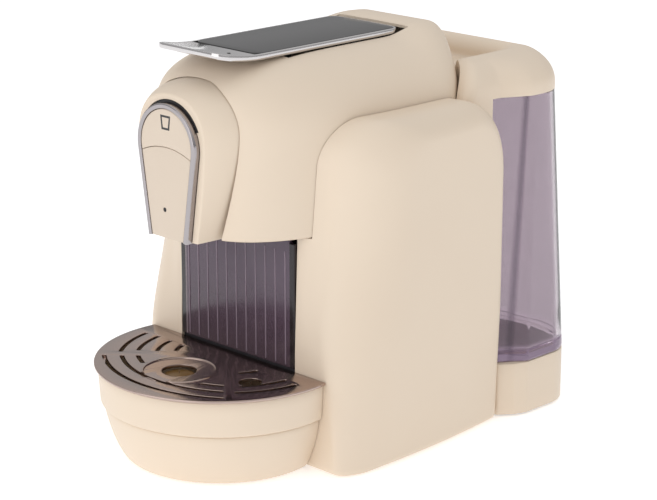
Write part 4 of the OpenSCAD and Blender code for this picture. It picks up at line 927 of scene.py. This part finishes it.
def repeated(name, seed, count, step, material):
    # Geometry Nodes: the seed piece set out along a line, made real and kept as a plain mesh
    tree = bpy.data.node_groups.new(name, "GeometryNodeTree")
    sockets = {}
    for label, kind in (("Piece", "Object"), ("Count", "Int"), ("Step", "Vector"), ("Start", "Vector"),
                        ("Finish", "Material")):
        socket = tree.interface.new_socket(label, in_out="INPUT", socket_type="NodeSocket" + kind)
        sockets[label] = socket.identifier
    tree.interface.new_socket("Geometry", in_out="OUTPUT", socket_type="NodeSocketGeometry")
    given, end, line, info, sets, real, paint = [tree.nodes.new(kind) for kind in (
        "NodeGroupInput", "NodeGroupOutput", "GeometryNodeMeshLine", "GeometryNodeObjectInfo",
        "GeometryNodeInstanceOnPoints", "GeometryNodeRealizeInstances", "GeometryNodeSetMaterial")]
    info.transform_space = "RELATIVE"
    for source, out, target, into in (
            (given, "Piece", info, "Object"), (given, "Count", line, "Count"),
            (given, "Start", line, "Start Location"), (given, "Step", line, "Offset"),
            (line, "Mesh", sets, "Points"), (info, "Geometry", sets, "Instance"),
            (sets, "Instances", real, "Geometry"), (real, "Geometry", paint, "Geometry"),
            (given, "Finish", paint, "Material"), (paint, "Geometry", end, "Geometry")):
        tree.links.new(source.outputs[out], target.inputs[into])
    obj = added(name, bpy.data.meshes.new(name))
    row = obj.modifiers.new("row", "NODES")
    row.node_group = tree
    start = (-step[0] * (count - 1) / 2, -step[1] * (count - 1) / 2, 0)
    for label, value in (("Piece", seed), ("Count", count), ("Step", Vector(step) / 1000),
                         ("Start", Vector(start) / 1000), ("Finish", material)):
        row[sockets[label]] = value
    settle(obj)
    bpy.data.objects.remove(seed)
    return obj


def makeRibs():
    c = container
    r, low, high = c["ribW"] / 2, c["foot"] + 1.5, c["binTop"] - 4
    outline = [(-r, low), (r, low)] + arc(0, high - r, r, 0, 180, 8)
    seed = rounded(prism("ribSeed", outline, 0.4, -c["ribT"]), 0.15)
    # the ribs wear their painted highlight
    row = repeated("panelRibs", seed, c["ribs"], (c["pitch"], 0, 0), look["ribHighlight"])
    dress(row, "smoke", rides="capsule_container", smooth=40, wears="ribHighlight")


makeContainer()
makeRibs()
print("container done")


# lever: plated tray with its front lip curled up, a dark insert, and cranks under it
lever = {"half": 29.5, "thick": 3.6, "foot": 246.1, "lip": 37, "rise": 4.2, "root": 4, "tail": 113.5,
         "frontR": 9, "rearR": 7, "bow": 1.6, "bowRun": (26, 15), "inset": 1.7, "depth": 1.6, "padNose": -9,
         "padGap": 0.25, "pip": (20, -22, 1.1), "hinge": (109.5, 242.3, 3.2), "bore": 1.55, "crank": 14,
         "crankX": (15.5, 18.5), "crankPin": (10.5, 16.5), "pinR": 1.5, "eyeR": 2.8, "open": 85}


def lipAt(y):
    v = lever
    return 0.0 if y > -v["root"] else v["rise"] * ((-v["root"] - y) / (v["lip"] - v["root"])) ** 1.8


def leverHalf(inset, tip):
    v = lever
    half, tail, f, r, (before, run) = v["half"], v["tail"], v["frontR"], v["rearR"], v["bowRun"]
    front = arc(half - f, tip + f, f - inset, -90, 0, 14)
    rear = arc(half - r, tail - r, r - inset, 0, 90, 12)
    mid = (half - inset, 8)
    line = front + between(front[-1], mid, 10) + [mid] + between(mid, rear[0], 8) + rear
    line += between(rear[-1], (0, rear[-1][1]), 6)
    return [(x, y - v["bow"] * (x / half) ** 2 * ease((y - tail + before) / run)) for x, y in line]


def leverLoft(name, levels, tip):
    # skins levels of (inset, height) and closes both ends with rungs across
    rings = [[(x, y, lever["foot"] + lipAt(y) + high) for x, y in bothSides(leverHalf(inset, tip))]
             for inset, high in levels]
    points, faces = loft(rings, "open")
    n = len(rings[0])
    last = (len(rings) - 1) * n
    for i in range(n // 2 - 1):
        faces.append((i, n - 1 - i, n - 2 - i, i + 1))
        faces.append((last + i, last + i + 1, last + n - 2 - i, last + n - 1 - i))
    return solid(name, points, faces)


def lipPlate(floor):
    # fills the tray ahead of the pad, following the lip
    v, f = lever, lever["frontR"]
    corner, tip, sheets = f - 1.2, -v["lip"], []
    for y in np.linspace(tip + 1.2, v["padNose"] - 0.2, 18):
        reach = v["half"] - f + math.sqrt(max(0.0, corner ** 2 - min(0.0, y - tip - f) ** 2))
        low, high = (v["foot"] + lipAt(y) + up for up in (floor - 0.5, v["thick"] - 0.06))
        sheets.append([(-reach, y, low), (reach, y, low), (reach, y, high - 0.2), (reach - 0.5, y, high),
                       (0, y, high + 0.1), (0.5 - reach, y, high), (-reach, y, high - 0.2)])
    return solid("lipPlate", *loft(sheets))


def crankParts(side):
    # one crank: its plate with the hinge's bore, its pin, and its root under the tray
    v, swing = lever, math.radians(lever["open"] / 2)
    hy, hz, r = v["hinge"]
    py, pz = hy + v["crank"] * math.sin(swing), hz - v["crank"] * math.cos(swing)
    x0, x1 = sorted(side * x for x in v["crankX"])
    p0, p1 = sorted(side * x for x in v["crankPin"])
    across = math.degrees(math.atan2((pz - hz) / v["crank"], (py - hy) / v["crank"]))
    line = arc(hy, hz, r, across + 90, across + 270, 16)
    line += arc(py, pz, v["eyeR"], across - 90, across + 90, 16)
    plate = prism("crank", line, x0, x1, 0)
    carve(plate, [prism("cutPin", arc(hy, hz, v["bore"], 0, 345, 23), x0 - 1, x1 + 1, 0)])
    return [rounded(plate, 0.3), prism("crankPin", arc(py, pz, v["pinR"], 0, 345, 23), p0, p1, 0),
            box("crankRoot", (x0, hy - r, hz), (x1, hy + r, v["foot"] + 0.2))]


def makeLever():
    v = lever
    t, inset, floor = v["thick"], v["inset"], v["thick"] - v["depth"]
    levels = [(0.9, 0), (0.25, 0.25), (0, 0.9), (0, t - 0.9), (0.25, t - 0.25), (0.8, t), (inset - 0.35, t),
              (inset, t - 0.3), (inset, floor)]
    tray = leverLoft("leverTray", levels, -v["lip"])
    joinInto(tray, [lipPlate(floor)] + crankParts(1) + crankParts(-1))
    dress(tray, "chrome", "lever_frame", smooth=40)
    inset += v["padGap"]
    levels = [(inset + 0.3, floor + 0.3), (inset, floor + 0.5), (inset, t - 0.1), (inset + 0.12, t + 0.05),
              (inset + 0.45, t + 0.15)]
    pad = leverLoft("leverInsert", levels, v["padNose"])
    x, y, r = v["pip"]
    top = v["foot"] + lipAt(y) + t
    pip = [(0.01, top - 0.8), (r, top - 0.8), (r, top + 0.2), (r - 0.2, top + 0.4), (0.01, top + 0.45)]
    joinInto(pad, [lathe("lipPip", pip, (x, y), 32)])
    dress(pad, "dark_gloss", "lever_insert", smooth=40)


makeLever()
print("lever done")


# water tank, its foot and lid
tank = {"half": 94.5, "front": 147.8, "back": 214, "foot": 36.3, "rim": 206, "draft": (10, 3), "wall": 2.2,
        "corner": 25, "mid": 180, "outlet": 9, "flatTo": (82, -12), "bend": ((87, -3), (155, 15)),
        "bendR": 1.6, "floor": ((5.4, 0.7), (3.6, 2.4), (3, 5)),
        "bead": ((8.9, 0.15), (8.5, 0.45), (7.7, 0.45), (7.3, 0.15), (6.8, 0), (1.2, 0), (0.4, 0.4),
                 (0, 1.2))}
pedestal = {"front": 146.3, "top": 36, "foot": 1.5, "wall": 2.4, "gap": 0.2, "flatTo": 84,
            "bend": (91, 155), "bendR": 2.5, "edge": ((0, 1.0), (0.3, 0.3), (1.0, 0)), "pipe": (0, 24, 5),
            "inlet": (-20, 20, 8.3), "socketR": 15.3, "post": (40, 165, 5, 9.5),
            "base": ((-44.1, 140, -1), (44.1, 158, 9.5)),
            "switch": ((-64.3, 200, 12.7), (-39.7, 230, 27.3))}


def roundCorner(a, b, c, r, steps):
    # an arc that softens the corner b between a and c
    a, b, c = Vector(a), Vector(b), Vector(c)
    before, after = a - b, c - b
    reach = min(r / math.tan(before.angle(after) / 2), before.length * 0.48, after.length * 0.48)
    p, q = b + before.normalized() * reach, b + after.normalized() * reach
    return [tuple(p * (1 - t) ** 2 + b * 2 * t * (1 - t) + q * t * t) for t in np.linspace(0, 1, steps)]


def tankPlan(half, front, c0, c1, soft, back):
    rear = arc(half - tank["corner"], back - tank["corner"], tank["corner"], 4, 90, 26)
    side = (half, c1[1] + 9)
    right = [(c0[0] * k / 5, front) for k in range(5)]
    right += roundCorner((0, front), c0, c1, soft, 5) + roundCorner(c0, c1, side, soft * 2, 5)
    right += roundCorner(c1, side, rear[0], 3, 4) + rear + between(rear[-1], (0, back), 5) + [(0, back)]
    return bothSides(right)


def planRing(plan, inset, z):
    mid, half, reach = tank["mid"], tank["half"], tank["back"] - tank["mid"]
    return [(x * (1 - inset / half), mid + (y - mid) * (1 - inset / reach), z) for x, y in plan]


def tankRing(z, inset):
    t = tank
    k = (z - t["foot"]) / (t["rim"] - t["foot"])
    flat, *bend = (at + by * k for at, by in (t["flatTo"], *t["bend"]))
    plan = tankPlan(t["half"] - t["draft"][0] * k, t["front"], (flat, t["front"]), bend, t["bendR"],
                    t["back"] - t["draft"][1] * k)
    return planRing(plan, inset, z)


def makeTank():
    t = tank
    w, foot, rim = t["wall"], t["foot"], t["rim"]
    outer = [tankRing(rim, 0.5), tankRing(rim - 0.5, 0)]
    outer += [tankRing(z, 0) for z in np.linspace(rim - 8, foot + 9.5, 12)]
    outer += [tankRing(foot + up, inset) for up, inset in t["bead"]]
    inner = [tankRing(rim, w - 0.4), tankRing(rim - 0.5, w)]
    inner += [tankRing(z, w) for z in np.linspace(rim - 10, foot + 9, 8)]
    inner += [tankRing(foot + up, w + inset) for up, inset in t["floor"]]
    shell = solid("waterTank", *loft(list(reversed(outer)) + inner))
    carve(shell, [rod("cutOutlet", t["outlet"], 0, 60, (0, t["mid"]), 64)])
    tidy(shell, 0.005)
    dress(shell, "tank_smoke", "water_tank", smooth=26)


def makePedestal():
    p, half, mid = pedestal, tank["half"] - pedestal["gap"], tank["mid"]
    w, front, top, foot = p["wall"], p["front"], p["top"], p["foot"]
    plan = tankPlan(half, front, (p["flatTo"], front), p["bend"], p["bendR"], tank["back"])
    outer = [planRing(plan, inset, foot + up) for up, inset in p["edge"]]
    outer += [planRing(plan, 0, z) for z in (foot + 12, foot + 24)]
    outer += [planRing(plan, inset, top - up) for up, inset in reversed(p["edge"])]
    shell = solid("tankFoot", *loft(outer))
    for cut in (solid("cutHollow", *loft([planRing(plan, w, foot - 2), planRing(plan, w, top - w)])),
                rod("cutSocket", p["socketR"], 10, 50, (0, mid), 64),
                prism("cutPipe", arc(*p["pipe"], 0, 345, 23), 130, 160),
                prism("cutInlet", arc(*p["inlet"], 0, 350, 35), 200, 230),
                box("cutBase", *p["base"]), box("cutSwitch", *p["switch"])):
        carve(shell, [cut])
    tidy(shell, 0.02)
    x, y, r, low = p["post"]
    joinInto(shell, [rod("post", r, low, top - 1, (side * x, y), 32) for side in (-1, 1)])
    dress(shell, "cream", "tank_pedestal", smooth=36)


lid = {"foot": 183, "front": 121, "half": 86, "back": 212, "mid": 160, "wall": 2.4, "corner": 29, "flat": 50,
       "shoulder": 210, "top": 229.5, "domePower": 2.2, "rearLean": 11, "lobe": 75, "lobeR": 8, "wide": 172,
       "rollFrom": 190, "roll": 28, "pocket": 46, "pocketFoot": 216, "pocketBack": 194, "pocketR": 12,
       "footR": 3, "flare": 9}


def lidPlan(inset):
    v, r = lid, lid["lobeR"]
    right = [((v["lobe"] - r) * k / 8, v["front"] + inset) for k in range(8)]
    right += arc(v["lobe"] - r, v["front"] + r, r - inset, -90, 0, 14)
    a, b = (v["lobe"] + 0.5 - inset, tank["front"] + 4), (v["half"] - inset, v["wide"])
    rear = arc(v["half"] - v["corner"], v["back"] - v["corner"], v["corner"] - inset, 0, 90, 28)
    right += between(right[-1], a, 6) + roundCorner(right[-1], a, b, 12, 7) + between(a, b, 5)[1:-1]
    right += roundCorner(a, b, rear[0], 14, 7) + rear + between(rear[-1], (0, v["back"] - inset), 12)
    return bothSides(right + [(0, v["back"] - inset)])


def lobeRoll(z, inset):
    # how far the lobes' front has leaned back at a height
    v = lid
    k = min(1.0, max(0.0, (z - v["rollFrom"]) / (v["top"] - inset - v["rollFrom"])))
    return v["roll"] * (1 - math.sqrt(1 - k * k))


def lidRing(z, inset, plan):
    v, mid, flat = lid, lid["mid"], lid["flat"]
    t = max(0.0, (z - v["shoulder"]) / (v["top"] - inset - v["shoulder"]))
    s = dome(t, v["domePower"])
    rear = (v["back"] - mid - inset - v["rearLean"] * (1 - s)) / (v["back"] - mid - inset)
    front = (mid - v["front"] - inset - lobeRoll(z, inset)) / (mid - v["front"] - inset)
    return [(x if abs(x) < flat else math.copysign(flat + (abs(x) - flat) * s, x),
             mid + (y - mid) * (front if y < mid else rear), z) for x, y in plan]


def pocketBlock(inset):
    # the pocket's hollow: round at its foot, flared over the rim
    v, rings = lid, []
    foot, top, r, f, corner = v["pocketFoot"] - inset, v["top"] - inset, v["flare"], v["footR"], v["pocketR"]
    levels = [(foot + f * (1 - math.cos(a)), -f * (1 - math.sin(a))) for a in np.linspace(0, math.pi / 2, 6)]
    levels += [(top - r + r * math.sin(a), r * (1 - math.cos(a))) for a in np.linspace(0, math.pi / 2, 12)]
    for z, out in levels + [(top + 12, r + 3)]:
        half, back = v["pocket"] + inset + out, v["pocketBack"] + inset + out
        right = [(half, 80)] + between((half, 80), (half, back - corner), 6)
        right += arc(half - corner, back - corner, corner, 0, 90, 12)
        rings.append([(x, y, z) for x, y in bothSides(right)])
    return solid("cutPocket", *loft(rings))


def lidBlock(name, inset, steps):
    v, plan, start = lid, lidPlan(inset), lid["shoulder"]
    heights = list(np.linspace(v["foot"] - inset, start - 2, 12))
    heights += [start + math.sin(math.radians(a)) ** (2 / v["domePower"]) * (v["top"] - inset - start)
                for a in np.linspace(0, 88.5, steps)]
    block = solid(name, *loft([lidRing(z, inset, plan) for z in heights]))
    rearR = cover["rearR"]
    rest = arc(cover["back"] - rearR, cover["top"] - rearR, rearR + 0.6 + inset, 0, 357, 119)
    rim = tank["rim"] + 0.3 - (1 if inset else 0)
    for cut in (headWall("cutBody", 0.6 + inset, 100, 300),
                box("cutRim", (-150, tank["front"] - 1.2 - inset, 0), (150, 260, rim)),
                prism("cutRest", rest, -160, 160, 0), pocketBlock(inset)):
        carve(block, [cut])
    return block


def makeLid():
    shell = carve(lidBlock("tankLid", 0, 26), [lidBlock("cutLid", lid["wall"], 12)])
    tidy(shell, 0.03)
    dress(shell, "cream", "tank_lid", smooth=40)


makeTank()
makePedestal()
makeLid()
print("tank done")


# the rest keeps its CAD shape, with its edges broken where they show
slotOf = {part["node"]: part["material_slot"] for part in frame["record"]["subparts"]}
edged = {"bowl_foot": 0.5, "level_float": 0.5, "status_lamp": 0.15, "rubber_feet": 0.5,
         "switch_housing": 0.3, "power_rocker": 0.3, "cord_inlet": 0.4, "tank_socket": 0.4,
         "valve_bush": 0.3, "pump": 0.4, "thermoblock": 0.6, "coffee_spout": 0.4, "nozzle_plate": 0.4,
         "hinge_bracket": 0.3, "injection_piston": 0.4}
for node, width in edged.items():
    softened(node, slotOf[node], width)
# the cup icon wears its print, the bay shelf a painted shadow
tinted = {"cup_icon": "icon", "bay_shelf": "shelfShadow"}
kept = [node for node in sorted(cad) if not cad[node].hide_render]
for node in kept:
    mesh = cad[node].data
    mesh.materials.clear()
    mesh.materials.append(look[tinted[node]] if node in tinted else finish[slotOf[node]])
print("edges broken:", len(edged), "CAD shapes kept:", ", ".join(kept))


def addFloor():
    half = 30
    floor = added("floor", bpy.data.meshes.new("floor"))
    floor.data.from_pydata([(-half, -half, 0), (half, -half, 0), (half, half, 0), (-half, half, 0)], [],
                           [(0, 1, 2, 3)])
    paint = Paint("paleFloor", Roughness=0.9, IOR=1.2, Emission_Strength=0.4)
    cloud = paint.noise(3, 2)
    paint.wear(Base_Color=paint.mix(cloud, (0.97, 0.97, 0.97, 1), (0.955, 0.955, 0.96, 1)),
               Emission_Color=paint.mix(cloud, (1, 1, 1, 1), (0.98, 0.98, 1, 1)))
    floor.data.materials.append(paint.material)
    floor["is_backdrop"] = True


addFloor()
shownBox = [[float(v) for v in corner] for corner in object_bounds()]
for name, corners in (("cad", cadBox), ("shown", shownBox)):
    print(name, "box in mm:", [[round(v * 1000, 1) for v in corner] for corner in corners])
